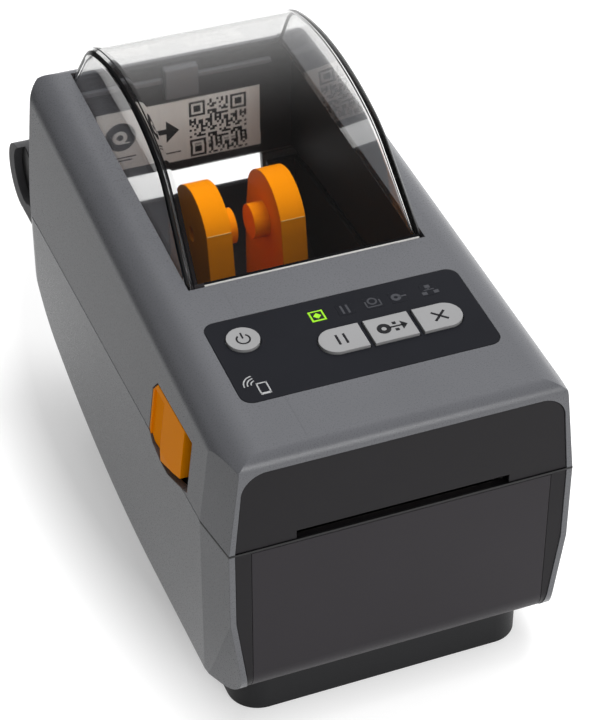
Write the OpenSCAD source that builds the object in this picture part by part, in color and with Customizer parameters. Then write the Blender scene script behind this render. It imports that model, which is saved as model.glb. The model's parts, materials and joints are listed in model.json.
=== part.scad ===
// Compact desktop label printer: housing, hinged cover with a clear window, roll holders,
// print mechanism, keys and release latch. Lengths are in millimetres, front face toward -Y.

/* [Housing] */
// Width across the housing at the seam
body_w = 115; // [112:0.5:120]
// Length from the front face to the back of the hinge lobes
body_l = 220; // [216:1:230]
// Height of the seam between housing and cover
seam_z = 77; // [75.5:0.5:78]
// Gap along the seam
seam_gap = 0.3; // [0.2:0.05:0.5]
// Shell wall
wall = 2.4; // [2:0.1:2.6]
// Height of the housing's lower edge
belly_z = 17.2; // [16:0.2:19]
// Distance from the rear wall to the start of the rising belly
belly_back = 136; // [130:0.5:142]
// Radius of that rise in side view
belly_r = 296; // [285:1:330]
// Radius of the rear lower corner in side view
stern_r = 50; // [46:1:54]
// Radius of the rear corners in plan
rear_corner_r = 13; // [11:0.5:15]
// Radius of the lower front edge
chin_r = 10; // [8:0.5:12]
// Width lost on each side by the front corner taper
nose_in = 2.4; // [1:0.1:2.6]
// Length of the front corner taper
nose_l = 18; // [14:1:24]
// Height where the front corners start to draw in further
facet_z = 50; // [42:1:60]
// Width lost on each side by that drawing in at the lower edge
facet_in = 3.7; // [2:0.1:4.2]
// Length of the drawn-in corner at the lower edge
facet_l = 16; // [12:1:20]

/* [Cover] */
// Height of the top surface at the front face
crown_z = 110.1; // [108:0.5:112]
// Slope of the top surface in degrees
slope = 4.76; // [4:0.1:5.5]
// Lean of the cover's sides, as width lost per height
lean = 0.12; // [0.08:0.01:0.16]
// Radius between the cover's sides and top
roll_r = 11; // [8:0.5:13]
// Radius between the cover's front and top
brow_r = 6; // [4:0.5:7]
// Radius between the cover's rear and top
tail_r = 5; // [3:0.5:6]

/* [Front] */
// Width of the grey rim beside the dark front bezels
bezel_side = 4.3; // [3.9:0.2:6.5]
// Height of the upper bezel's top edge
bezel_top = 105.5; // [103:0.5:106]
// Corner radius of the upper bezel
bezel_corner = 8; // [5:0.5:10]
// Thickness of the bezels
bezel_t = 2.9; // [2.4:0.1:3.2]
// Thickness of the lower panel
panel_t = 1.5; // [1:0.1:1.8]
// Width of the bezel strip beside the lower panel
panel_side = 5.2; // [4.2:0.2:9.2]
// Gap round fitted trim
trim_gap = 0.15; // [0.1:0.05:0.3]
// Distance from the cradle's plane to the label slot's end
slot_in = 2; // [1:0.5:4]
// Height of the label slot above the seam
slot_h = 3.3; // [2.5:0.1:4]

/* [Plinth] */
// Distance from the housing's side to the plinth
plinth_side = 8.5; // [7.5:0.5:10.5]
// Set-back of the plinth from the front face
plinth_front = 11; // [9:0.5:14]
// Distance from the printer's rear to the plinth
plinth_back = 52; // [49:1:55]
// Corner radius of the plinth
plinth_r = 10; // [6:0.5:12]
// Floor thickness of the plinth
plinth_t = 3.2; // [2.6:0.1:4]
// Radius of a foot pad
pad_r = 6; // [4:0.5:8]
// Depth of a foot pad
pad_t = 1; // [0.6:0.1:1.6]
// Radius of a plinth screw
screw_r = 1.5; // [1.2:0.1:2]
// Radius of a plinth screw's head
screw_head = 2.8; // [2.4:0.1:3.4]
// Height of a plinth screw's head
screw_head_t = 1; // [0.8:0.1:1.4]
// Length of a plinth screw above the plinth floor
screw_l = 7; // [5:0.5:8]
// Gap round and under a plinth screw's head
screw_gap = 0.2; // [0.15:0.05:0.3]

/* [Hinge] */
// Radius of the hinge lobes
lobe_r = 12; // [11:0.5:13]
// Width of a hinge lobe
lobe_w = 12; // [10:0.5:13]
// Distance from the hinge lobe's outer end to the widest side
lobe_in = 1.2; // [0.5:0.1:3]
// Height of the hinge axis above the seam
hinge_up = 5; // [4:0.5:6]
// Distance from the rear wall back to the hinge axis
hinge_back = 6.5; // [6:0.5:8]
// Radius of the hinge pins
pin_r = 2; // [1.5:0.1:2.5]
// Radius of the cover's hinge knuckles
knuckle_r = 6.5; // [5.5:0.5:7.5]
// Width of a cover knuckle
knuckle_w = 9; // [7:0.5:11]
// Clearance round the lobes
lobe_gap = 0.5; // [0.4:0.1:1]
// Radial clearance of turning fits
run_gap = 0.05; // [0.03:0.01:0.08]
// Radial clearance of fixed round fits
fix_gap = 0.02; // [0.02:0.01:0.04]

/* [Window] */
// Distance from the roll bay's side to the window's foot
win_in = 2.4; // [2:0.2:5]
// Lean of the window's side walls
win_lean = 0.075; // [0.04:0.005:0.1]
// Height of the window's top
win_top = 151; // [148:0.5:154]
// Window wall
win_t = 2.2; // [1.6:0.1:2.6]
// Distance from the window's highest point to the rear wall
win_peak = 55; // [52:0.5:58]
// Radius of the window's long top curve
win_top_r = 98; // [90:1:110]
// Radius between the front face and the top curve
win_front_r = 40; // [32:1:46]
// Radius between the rear face and the top curve
win_rear_r = 24; // [18:1:28]
// Steepness of the window's front face in degrees
win_front_a = 42; // [40:0.5:46]
// Steepness of the window's rear face in degrees
win_rear_a = 52; // [48:0.5:56]
// Half span of the flatter top toward the front, in degrees
win_span_f = 21; // [19:0.5:23]
// Half span of the flatter top toward the rear, in degrees
win_span_r = 16; // [14:0.5:18]

/* [Control panel] */
// Distance from the housing's side to the control overlay
deckle_side = 16.2; // [15.5:0.1:16.9]
// Length of the control overlay
deckle_l = 36.6; // [36:0.2:38]
// Corner radius of the overlay
deckle_r = 4; // [2:0.5:6]
// Thickness of the overlay
deckle_t = 0.8; // [0.6:0.1:1]
// Height of the keys above the overlay
key_up = 0.8; // [0.5:0.1:1.2]
// Travel of the keys
key_travel = 0.8; // [0.5:0.1:1]
// Gap round the keys
key_gap = 0.35; // [0.3:0.05:0.5]
// Radius of the power key
power_r = 5.1; // [4.5:0.1:5.6]
// Width of the row keys along the panel
row_w = 14.2; // [13:0.1:14.6]
// Length of the row keys up the slope
row_l = 10.6; // [9.6:0.1:11]
// Pitch of the row keys
row_pitch = 15.9; // [15.6:0.1:16.4]
// Width of an indicator
lamp_w = 4.6; // [3.6:0.1:5]
// Lip of a key under the cover
key_lip = 1.1; // [0.8:0.1:1.2]
// Thickness of the circuit boards
board_t = 1.6; // [1.2:0.1:2]
// Height of a key switch
switch_h = 2; // [1.6:0.1:2.4]

/* [Latch] */
// Distance from the front face to the latch's rear edge
latch_y = 63.5; // [61:0.5:66]
// Length of the latch tab
latch_l = 27.5; // [25:0.5:29]
// Height of the latch tab's top above the seam
latch_up = 19.5; // [18:0.5:21]
// Depth of the latch tab's lowest point below the seam
latch_down = 4.5; // [3.5:0.5:5]
// Distance from the latch tab's rear edge to its lowest point
latch_keel = 10; // [8:0.5:12]
// Height of the latch tab's front lower corner above the seam
latch_heel = 2; // [1:0.5:4]
// Length of the finger recess in the latch tab
scoop_l = 8.6; // [7:0.2:10]
// Depth of the finger recess at its front
scoop_d = 2.6; // [1.6:0.1:3]
// Rim behind the finger recess
scoop_rim = 1.2; // [0.8:0.1:2]
// Travel of the latch
latch_travel = 6; // [5:0.5:6.5]
// Thickness of the latch tab
latch_t = 5; // [4:0.2:5.4]
// Gap round the latch
latch_gap = 0.4; // [0.3:0.05:0.6]
// Width of the latch bar along the printer
bar_l = 6; // [5:0.5:7]
// Height of the latch bar
bar_h = 6; // [5:0.5:7]
// Height of the latch bar's underside above the seam
bar_up = 5; // [4.5:0.5:7]

/* [Roll bay] */
// Gap between the rear wall and the roll bay
bay_gap = 4.3; // [3:0.1:6]
// Height of the roll bay's floor
bay_floor = 34.5; // [33.5:0.5:37]
// Share of the length taken by the print section in front of the roll bay
print_share = 0.36; // [0.354:0.002:0.37]
// Room beside the roll bay
bay_side = 16.5; // [15.5:0.5:17.5]
// Wall of the roll bay
bay_t = 1.8; // [1.4:0.1:2]
// Half width of the rear paper slot
fan_half = 31; // [28:0.5:32]
// Depth of the rear paper slot below the seam
fan_down = 10; // [8:0.5:11]

/* [Roll holders] */
// Distance between the holders' inner faces
holder_gap = 17; // [16:0.5:20]
// Thickness of a holder
holder_t = 8.7; // [7:0.1:9.4]
// Radius of a holder's head
holder_r = 17; // [15:0.5:19]
// Height of the crease below a holder's head above the roll's axis
crease_up = 8; // [6:0.5:10]
// Length of a holder's foot along the printer
holder_l = 36; // [33:0.5:38]
// Room behind each holder at the end of its travel
holder_end = 3.8; // [3.3:0.5:7.8]
// Radius of a hub
hub_r = 6; // [5:0.2:8]
// Length of a hub
hub_l = 5.5; // [4:0.1:6]
// Radius of the hole in a hub
hub_bore = 2.6; // [2:0.1:3]
// Thickness of a hub's closed end
hub_end = 1.5; // [1:0.1:2.5]
// Clearance under and beside the holders
holder_clear = 0.4; // [0.3:0.05:0.6]
// Width of a holder's stem along the printer
stem_l = 6; // [5:0.5:7]
// Teeth of the centring pinion
sync_teeth = 12; // [11:1:14]
// Module of the centring gears
sync_m = 1; // [0.9:0.05:1.1]
// Thickness of the racks
rack_t = 4; // [3:0.5:5]
// Height of the racks' underside
rack_z = 22; // [21:0.5:23]
// Radius of the centring pinion's post
post_r = 2; // [1.6:0.1:2.4]

/* [Print mechanism] */
// Distance from the front face to the platen axis
platen_y = 13; // [12.5:0.1:14]
// Depth of the platen axis below the seam
platen_down = 7; // [6.8:0.1:8]
// Radius of the platen sleeve
platen_r = 6.5; // [6:0.1:6.7]
// Gap between the platen sleeve and the cradle
platen_in = 5; // [4:0.5:8]
// Radius of the platen shaft
shaft_r = 3; // [2.5:0.1:3.4]
// Outer radius of the platen bearings
bearing_r = 5; // [4.6:0.1:5.6]
// Module of the drive gears
drive_m = 0.8; // [0.75:0.01:0.85]
// Teeth of the platen gear
platen_teeth = 20; // [18:1:20]
// Teeth of the idler gear
idler_teeth = 28; // [26:1:30]
// Teeth of the motor pinion
motor_teeth = 12; // [12:1:14]
// Fall from the platen axis to the idler axis in degrees
idler_a = 55; // [50:1:60]
// Fall from the idler axis to the motor axis in degrees
motor_a = 45; // [40:1:50]
// Width of the drive gears
gear_w = 4; // [3:0.5:5]
// Radius of the motor can
motor_r = 17; // [15:0.5:17.5]
// Length of the motor can
motor_l = 24; // [18:0.5:26]
// Radius of the motor shaft
spindle_r = 1.5; // [1.2:0.1:2]
// Radius of the idler's post
idler_post_r = 2; // [1.6:0.1:2.4]
// Distance from the housing's side to the print cradle
cradle_side = 21.5; // [20.5:0.5:22]
// Thickness of the print cradle's plates
cradle_t = 2.5; // [2:0.1:3]
// Gap between the print head and the platen
head_gap = 0.4; // [0.3:0.05:0.6]
// Gap between the print head and the cradle's plane
head_in = 5; // [4:0.5:8]
// Thickness of the print head plate
head_t = 3.2; // [2.6:0.1:3.6]
// Height of the heat sink on the print head
sink_h = 4; // [3:0.5:5]
// Width of a groove between the heat sink's fins
sink_groove = 2; // [1.4:0.1:2.6]
// Thickness of the heat sink under its fins
sink_t = 1.2; // [0.8:0.1:2]
// Radius of the head's pivot rod
pivot_r = 1.5; // [1.2:0.1:2]
// Outer radius of a head spring
spring_r = 2.5; // [2:0.1:3]
// Length of a head spring
spring_l = 7; // [6:0.5:8]
// Thickness of the head bracket
bracket_t = 1.5; // [1.2:0.1:2]
// Pitch of the tear bar's teeth
tear_pitch = 1.7; // [1.2:0.1:2.4]
// Thickness of the tear bar
tear_t = 1.2; // [0.8:0.1:1.6]
// Height of the tear bar above its teeth
tear_h = 4; // [3:0.5:5]
// Length of the tear bar's teeth
tear_tooth = 0.9; // [0.6:0.1:1.1]
// Radius of the sensor rod
rod_r = 1.5; // [1.2:0.1:2]
// Half width of the sensor carriage
sensor_half = 5; // [4:0.5:6]
// Travel of the sensor to each side
sensor_travel = 22; // [16:1:24]
// Distance from the front face to the sensor rod
sensor_y = 36; // [35:0.5:37]
// Thickness of the media deck
deck_t = 2; // [1.6:0.1:2.4]
// Depth of the media deck's top below the seam
deck_down = 2.6; // [2.4:0.1:3]
// Radius of the deck's legs
leg_r = 3; // [2.5:0.1:3.5]

/* [Boards and sockets] */
// Gap between the deck legs and the main board
main_gap = 2; // [1:0.5:5]
// Distance from the front face to the main board
main_front = 30; // [26:1:34]
// Distance from the roll axis to the main board
main_back = 15; // [13:1:22]
// Radius of a capacitor
cap_r = 4; // [3:0.5:5]
// Height of a capacitor
cap_h = 9; // [7:0.5:11]
// Width of a chip
chip_w = 12; // [8:1:14]
// Height of a chip
chip_h = 1.4; // [1:0.1:2]
// Width of a cable connector
plug_w = 5; // [4:0.5:6]
// Length of a cable connector
plug_l = 14; // [10:1:16]
// Height of a cable connector
plug_h = 6; // [5:0.5:8]
// Distance from the board's front edge to the first cable connector
plug_y = 36; // [32:1:40]
// Distance between the cable connectors
plug_step = 24; // [18:1:26]
// Height of the main board above the plinth floor
main_up = 3.2; // [2.6:0.1:4]
// Width of a rear socket
jack_w = 8.5; // [7.5:0.1:8.8]
// Height of a rear socket
jack_h = 11; // [9:0.5:11.5]
// Depth of a rear socket
jack_d = 13; // [11:0.5:14]
// Distance from the rear wall to a rear socket's face
jack_in = 7.5; // [6:0.5:9]
// Depth of a rear socket's centre below the seam
jack_down = 15.5; // [15:0.5:17]
// Half width of the instruction sticker
sticker_half = 29; // [26:0.5:34]
// Height of the instruction sticker
sticker_h = 23.5; // [20:0.5:25]

/* [Hidden] */
$fn = 64;
eps = 0.01;
big = 400;
hw = body_w / 2;
front_y = -body_l / 2;
hinge_y = body_l / 2 - lobe_r;
hinge_z = seam_z + hinge_up;
rear_y = hinge_y - hinge_back;
cover_z = seam_z + seam_gap;
nose_half = hw - nose_in;
lean_q = sqrt(1 + lean * lean);
crown_half = hw - lean * (crown_z - seam_z);
roll_x = crown_half + lean * roll_r - roll_r * lean_q;
yaw = atan(lean * tan(slope));
bezel_half = hw - bezel_side;
panel_half = bezel_half - panel_side;
plinth_half = hw - plinth_side;
plinth_l = body_l - plinth_front - plinth_back;
bay_half = hw - bay_side;
leg_x = bay_half - leg_r;
main_half = leg_x - leg_r - main_gap;
cradle_half = hw - cradle_side;
platen_half = cradle_half - platen_in;
head_half = cradle_half - head_in;
slot_half = cradle_half - slot_in;
win_half = bay_half - win_in;
deckle_half = hw - deckle_side;
bay_front = front_y + print_share * body_l;
bay_rear = rear_y - wall - bay_gap;
bay_dip = seam_z - bay_floor;
bay_run = (bay_rear - bay_front) / 2;
bay_r = (pow(bay_run, 2) + pow(bay_dip, 2) - pow(bay_t, 2)) / (2 * (bay_t + bay_dip));
roll_y = (bay_front + bay_rear) / 2;
roll_z = bay_floor + bay_r;
roll_up = roll_z - seam_z;
holder_travel = bay_half - holder_gap / 2 - holder_t - holder_end;
win_y = rear_y - win_peak;
win_c = [win_y, win_top - win_top_r];
win_f = win_c + (win_top_r - win_front_r) * [-sin(win_span_f), cos(win_span_f)];
win_p = win_f + win_front_r * [-sin(win_front_a), cos(win_front_a)];
win_foot = win_p[0] - (win_p[1] - top_z(win_p[0])) / (tan(win_front_a) - tan(slope));
deckle_cy = (front_y + brow_r + win_foot) / 2;
power_in = 9.6;
row_v = -1.9;
lamp_v = 11.1;
lamp_xs = [2.2, 11.3, 19.5, 29.8];
status_x = -6.8;
power_x = power_in - deckle_half;
power_v = 8;
row_x = 11.7;
key_stem = 2.6;
lip_z = -wall - 0.3;
switch_top = lip_z - key_lip - key_stem / 2 - key_travel - 0.15;
board_z = switch_top - switch_h;
latch_y0 = front_y + latch_y;
latch_top = seam_z + latch_up;
latch_low = seam_z - latch_down;
bar_y = latch_y0 - 17.5;
bar_z = seam_z + bar_up;
hook_l = 3.6;
hook_nose = 4.2;
hook_z = seam_z - 11;
hook_t = 3;
hook_x = hw - wall - 5.2;
catch_gap = 0.5;
catch_h = 2.6;
platen_cy = front_y + platen_y;
platen_cz = seam_z - platen_down;
platen_pr = platen_teeth * drive_m / 2;
idler_pr = idler_teeth * drive_m / 2;
motor_pr = motor_teeth * drive_m / 2;
idler_cy = platen_cy + (platen_pr + idler_pr) * cos(idler_a);
idler_cz = platen_cz - (platen_pr + idler_pr) * sin(idler_a);
motor_cy = idler_cy + (idler_pr + motor_pr) * cos(motor_a);
motor_cz = idler_cz - (idler_pr + motor_pr) * sin(motor_a);
idler_phase = 180 - idler_a + 180 / idler_teeth;
idler_part = (-motor_a - idler_phase) * idler_teeth / 360;
motor_phase = 180 - motor_a + (idler_part + 0.5) * 360 / motor_teeth;
cradle_front = 5;
cradle_back = 13;
gear_x = cradle_half + cradle_t + 3;
shaft_over = 1;
sync_pr = sync_teeth * sync_m / 2;
stem_in = 1;
stem_w = holder_t - 2 * stem_in;
crease_y = sqrt(pow(holder_r, 2) - pow(crease_up, 2));
rack_over = 5;
rack_body = 3;
slot_clear = 0.5;
head_z = platen_cz + platen_r + head_gap;
head_y0 = front_y + 6;
pivot_y = platen_cy + 12;
pivot_z = head_z + head_t + 3.5;
spring_y = head_y0 + 4;
spring_z = head_z + head_t + sink_h;
spring_x = 18;
flange_z = spring_z + spring_l;
bracket_y = head_y0 + 8.5;
ear_x = deckle_half + 1;
ear_w = 4;
deck_z = seam_z - deck_down;
sensor_cy = front_y + sensor_y;
sensor_cz = deck_z - deck_t - 3;
main_y0 = front_y + main_front;
main_l = roll_y - main_back - main_y0;
main_z = plinth_t + main_up;
liner_t = 1.6;
liner_y = rear_y - wall - 4.1;
liner_z = cover_z + 3.5;
jack_x = hw - wall - 2.6 - jack_w / 2;
jack_z = seam_z - jack_down;
jack_y = rear_y - jack_in;
knuckle_x = hw - lobe_in - lobe_w - 0.5 - knuckle_w;
leg_y = bay_front - 5;
pad_x = plinth_half - plinth_r;

// Height of the top surface at a place along the printer
function top_z(y) = crown_z + tan(slope) * (y - front_y);

// Points along an arc from angle a to angle b
function arc(c, r, a, b, n) = [for (i = [0:n]) c + r * [cos(a + (b - a) * i / n), sin(a + (b - a) * i / n)]];

// Outline of a gear whose first tooth points along the X axis
function gear_points(teeth, m) = [
  for (i = [0:teeth - 1])
    for (k = [[-0.31, -1.3], [-0.11, 0.9], [0.11, 0.9], [0.31, -1.3]])
      (teeth * m / 2 + k[1] * m) * [cos((i + k[0]) * 360 / teeth), sin((i + k[0]) * 360 / teeth)]
];

// Extrudes a side view across the printer
module across(w) {
  rotate([90, 0, 90]) linear_extrude(w, center = true) children();
}

// Extrudes a front view along the printer
module along(l) {
  rotate([90, 0, 0]) linear_extrude(l, center = true) children();
}

// Round rod across the printer from one side position to another
module rod(x0, x1, y, z, r) {
  translate([x0, y, z]) rotate([0, 90, 0]) cylinder(h = x1 - x0, r = r);
}

// Copies to both sides
module both() {
  children();
  mirror([1, 0, 0]) children();
}

// Rectangle with rounded corners
module round_rect(w, l, r) {
  square([w - 2 * r, l], center = true);
  square([w, l - 2 * r], center = true);
  for (x = [-1, 1], y = [-1, 1]) translate([x * (w / 2 - r), y * (l / 2 - r)]) circle(r);
}

// Plan outline of housing and cover, drawn in by t
module plan(t) {
  r = rear_corner_r;
  polygon([
    [-nose_half + t, front_y + t], [nose_half - t, front_y + t], [hw - t, front_y + nose_l],
    [hw - t, rear_y - r], [hw - r, rear_y - t], [r - hw, rear_y - t], [t - hw, rear_y - r],
    [t - hw, front_y + nose_l]
  ]);
  for (x = [-1, 1]) translate([x * (hw - r), rear_y - r]) circle(r - t);
}

// Side outline of the housing, drawn in by t, up to a given height
module base_profile(t, top) {
  by = rear_y - belly_back;
  cz = belly_z + belly_r;
  sy = rear_y - stern_r;
  sz = cz - sqrt(pow(belly_r - stern_r, 2) - pow(sy - by, 2));
  jy = by + (sy - by) * belly_r / (belly_r - stern_r);
  intersection() {
    translate([front_y, 0]) square([body_l, top]);
    union() {
      translate([front_y + t, belly_z + chin_r]) square([by - front_y - t, big]);
      translate([front_y + chin_r, belly_z + t]) square([by - front_y - chin_r, big]);
      translate([front_y + chin_r, belly_z + chin_r]) circle(chin_r - t);
      intersection() {
        translate([by - eps, 0]) square([jy - by + eps, cz]);
        translate([by, cz]) circle(belly_r - t, $fn = 720);
      }
      intersection() {
        translate([jy - eps, 0]) square([big, sz]);
        translate([sy, sz]) circle(stern_r - t, $fn = 180);
      }
      translate([sy, sz - eps]) square([stern_r - t, big]);
    }
  }
}

// Half space outside the drawn-in lower front corner on the right
module nose_facet(t) {
  a = [nose_half, front_y, facet_z];
  b = [nose_half - facet_in, front_y, belly_z + 4];
  c = [hw, front_y + facet_l, belly_z];
  n = cross(b - a, c - a);
  translate(a) rotate([0, -asin(n[2] / norm(n)), atan2(n[1], n[0])])
    translate([-t, -big / 2, -big / 2]) cube([big, big, big]);
}

// Solid of the housing, drawn in by t
module base_solid(t, top) {
  difference() {
    intersection() {
      across(body_w + 2) base_profile(t, top);
      linear_extrude(big) plan(t);
    }
    both() nose_facet(t);
  }
}

// Cross-section of the right half of the cover below its top surface, drawn in by t
module cover_section(t) {
  polygon([
    [-body_w / 4, -body_w], [crown_half - t * lean_q + lean * body_w, -body_w],
    [roll_x + (roll_r - t) / lean_q, -roll_r + lean * (roll_r - t) / lean_q],
    [roll_x, -t], [-body_w / 4, -t]
  ]);
  translate([roll_x, -roll_r]) circle(roll_r - t);
}

// Right half of the cover's sides and top without ends, drawn in by t
module cover_sides(t) {
  translate([0, front_y, crown_z]) rotate([0, 0, yaw]) rotate([slope, 0, 0])
    along(3 * body_l) cover_section(t);
}

// Side outline of the cover, drawn in by t
module cover_profile(t) {
  by = front_y + brow_r;
  bz = top_z(by) - brow_r / cos(slope);
  ty = rear_y - tail_r;
  tz = top_z(ty) - tail_r / cos(slope);
  d = [-sin(slope), cos(slope)];
  polygon(concat(
    [[front_y + t, 0], [rear_y - t, 0], [rear_y - t, tz]],
    [[ty, tz] + (tail_r - t) * d, [by, bz] + (brow_r - t) * d, [front_y + t, bz]]
  ));
  translate([by, bz]) circle(brow_r - t);
  translate([ty, tz]) circle(tail_r - t);
}

// Outside of the cover's right front corner taper, which leans with the side, drawn in by t
module nose_lean(t) {
  a = [nose_half, front_y, seam_z];
  b = a + seam_z * [lean, 0, -1];
  c = [hw, front_y + nose_l, seam_z];
  n = cross(b - a, c - a);
  translate(a) rotate([0, -asin(n[2] / norm(n)), atan2(n[1], n[0])])
    translate([-t, -big / 2, -big / 2]) cube([big, big, big]);
}

// Solid of the cover above a given height, drawn in by t
module cover_solid(t, low) {
  difference() {
    intersection() {
      both() cover_sides(t);
      across(body_w + 2) cover_profile(t);
      translate([0, 0, low]) linear_extrude(big) plan(t);
    }
    both() nose_lean(t);
  }
}

// Outline of the upper front bezel, drawn in by t
module upper_outline(t) {
  w = bezel_half - t;
  z = bezel_top - t;
  r = bezel_corner;
  k = bezel_half - 2 - t;
  polygon([[-w, 0], [w, 0], [w, seam_z], [k, z - r], [k - r, z], [r - k, z], [-k, z - r], [-w, seam_z]]);
  for (x = [-1, 1]) translate([x * (k - r), z - r]) circle(r);
}

// Outline of the lower front bezel, drawn in by t
module lower_outline(t) {
  w = bezel_half - t;
  v = bezel_half - facet_in - t;
  polygon([[-v, 0], [v, 0], [v, belly_z + 4], [w, facet_z], [w, seam_z - t], [-w, seam_z - t], [-w, facet_z],
    [-v, belly_z + 4]]);
}

// Moves children onto the sloping top at the middle of the control panel
module on_panel() {
  translate([0, deckle_cy, top_z(deckle_cy)]) rotate([slope, 0, 0]) children();
}

// Side outline of the window, drawn in by t
module window_profile(t) {
  c = win_c;
  f = win_f;
  r = c + (win_top_r - win_rear_r) * [sin(win_span_r), cos(win_span_r)];
  pf = f + (win_front_r - t) * [-sin(win_front_a), cos(win_front_a)];
  pr = r + (win_rear_r - t) * [sin(win_rear_a), cos(win_rear_a)];
  polygon(concat(
    [pr + big / 4 * [cos(win_rear_a), -sin(win_rear_a)]],
    arc(r, win_rear_r - t, 90 - win_rear_a, 90 - win_span_r, 8),
    arc(c, win_top_r - t, 90 - win_span_r, 90 + win_span_f, 10),
    arc(f, win_front_r - t, 90 + win_span_f, 90 + win_front_a, 6),
    [pf - big / 4 * [cos(win_front_a), sin(win_front_a)]]
  ));
}

// Solid of the window, drawn in by t
module window_solid(t) {
  w = win_half - t;
  s = top_z(win_y);
  intersection() {
    across(body_w) window_profile(t);
    along(body_l) polygon([
      [-w - win_lean * s, 0], [w + win_lean * s, 0],
      [w - win_lean * (win_top - s), win_top], [win_lean * (win_top - s) - w, win_top]
    ]);
    translate([0, front_y, crown_z - wall + min(t, 0)]) rotate([slope, 0, 0])
      translate([-hw, 0, 0]) cube([body_w, big, big]);
  }
}

// Side outline of a latch tab, grown by g and lengthened forward by run
module latch_outline(g, run) {
  y1 = latch_y0 - latch_l - run - g;
  polygon([
    [latch_y0 - latch_keel - run - g, latch_low - g], [latch_y0 - latch_keel, latch_low - g],
    [latch_y0 - 3 + g, latch_low + 2 - g], [latch_y0 + g, seam_z + 1 - g], [latch_y0 + g, latch_top - 4 + g],
    [latch_y0 - 3.5 + g, latch_top + g], [y1, latch_top + g], [y1, seam_z + latch_heel - g]
  ]);
}

// Room for both latch tabs through their travel
module latch_window() {
  both() intersection() {
    across(body_w + 4) latch_outline(latch_gap, latch_travel);
    translate([hook_x - latch_gap, -body_l, 0]) cube([body_w, 2 * body_l, big]);
  }
}

// Finger recess in the rear of the right latch tab
module latch_scoop() {
  y0 = -scoop_rim;
  y1 = -scoop_rim - scoop_l;
  translate([hw, latch_y0, seam_z]) rotate([0, -atan(lean), 0]) translate([0, 0, -2 * latch_down])
    linear_extrude(2 * latch_down + latch_up - 2 * scoop_rim)
      polygon([[wall, y1], [wall, y0], [-scoop_d / 4, y0], [-scoop_d, y1]]);
}

// Outline of a row key, with its left or right end rounded
module row_key(left, right, grow) {
  w = row_w + 2 * grow;
  l = row_l + 2 * grow;
  square([w - l, l], center = true);
  for (s = [[-1, left], [1, right]])
    translate([s[0] * (w - l) / 2, 0])
      if (s[1]) {
        circle(l / 2);
      } else {
        translate([s[0] * l / 4 - s[0] * eps, 0]) square([l / 2, l], center = true);
      }
}

// Outlines of the keys, grown by a gap
module power_outline(grow) {
  translate([power_x, power_v]) circle(power_r + grow);
}
module pause_outline(grow) {
  translate([row_x - row_pitch, row_v]) row_key(true, false, grow);
}
module feed_outline(grow) {
  translate([row_x, row_v]) row_key(false, false, grow);
}
module cancel_outline(grow) {
  translate([row_x + row_pitch, row_v]) row_key(false, true, grow);
}

// Indicator outline at one place
module lamp_outline(x, grow) {
  translate([x, lamp_v]) square(lamp_w + 2 * grow, center = true);
}

// All openings in the control panel
module panel_openings(grow) {
  power_outline(grow);
  pause_outline(grow);
  feed_outline(grow);
  cancel_outline(grow);
}
module lamp_openings(grow) {
  for (x = concat(lamp_xs, status_x)) lamp_outline(x, grow);
}

// One key: cap, retaining lip and stem
module key_body() {
  on_panel() {
    translate([0, 0, lip_z - key_lip]) linear_extrude(-lip_z + key_lip + key_up) children(0);
    translate([0, 0, lip_z - key_lip]) linear_extrude(key_lip) children(1);
    translate([0, 0, lip_z - key_lip - key_stem / 2]) linear_extrude(key_stem / 2 + eps) children(2);
  }
}

// Places of the four key switches on the panel
switch_places = [[power_x, power_v], [row_x - row_pitch, row_v], [row_x, row_v], [row_x + row_pitch, row_v]];

// Key switch stem outline
module stem_outline(i) {
  translate(switch_places[i]) circle(key_stem / 2 + 0.7);
}

// Lower housing shell
module base_shell() {
  color([0.44, 0.44, 0.45])
  difference() {
    base_solid(0, seam_z);
    base_solid(wall, seam_z + 1);
    translate([0, front_y + plinth_front + plinth_l / 2, 0]) linear_extrude(seam_z / 2)
      round_rect(2 * plinth_half - 8, plinth_l - 8, plinth_r - 4);
    translate([0, front_y, 0]) along(2 * plinth_front) lower_outline(0);
    latch_window();
    both() translate([jack_x - jack_w / 2 - trim_gap, rear_y - 14, jack_z - jack_h / 2 - trim_gap])
      cube([jack_w + 2 * trim_gap, 20, jack_h + 2 * trim_gap]);
    translate([-fan_half, rear_y - 15, seam_z - fan_down]) cube([2 * fan_half, 20, fan_down + 1]);
    both() translate([hw - lobe_in - lobe_w - lobe_gap, hinge_y, hinge_z]) rotate([0, 90, 0])
      cylinder(h = big, r = lobe_r + eps);
  }
}

// Dark lower front bezel that turns under at the chin
module lower_bezel() {
  color([0.2, 0.2, 0.21])
  difference() {
    intersection() {
      base_solid(0.2, seam_z);
      translate([0, front_y, 0]) along(2 * plinth_front - 2 * trim_gap) lower_outline(trim_gap);
    }
    base_solid(bezel_t + 0.2, seam_z + 1);
    difference() {
      translate([-panel_half - trim_gap, front_y - 1, 0])
        cube([2 * (panel_half + trim_gap), plinth_front + 2, seam_z - 1 + trim_gap]);
      base_solid(panel_t + 0.2, seam_z + 1);
    }
  }
}

// Dark panel let into the lower bezel
module lower_panel() {
  color([0.17, 0.17, 0.18])
  difference() {
    intersection() {
      base_solid(0.2, seam_z - 1);
      translate([-panel_half, front_y - 1, 0])
        cube([2 * panel_half, plinth_front - trim_gap + 1, seam_z - 1]);
    }
    base_solid(panel_t + 0.2, seam_z + 1);
  }
}

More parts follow.
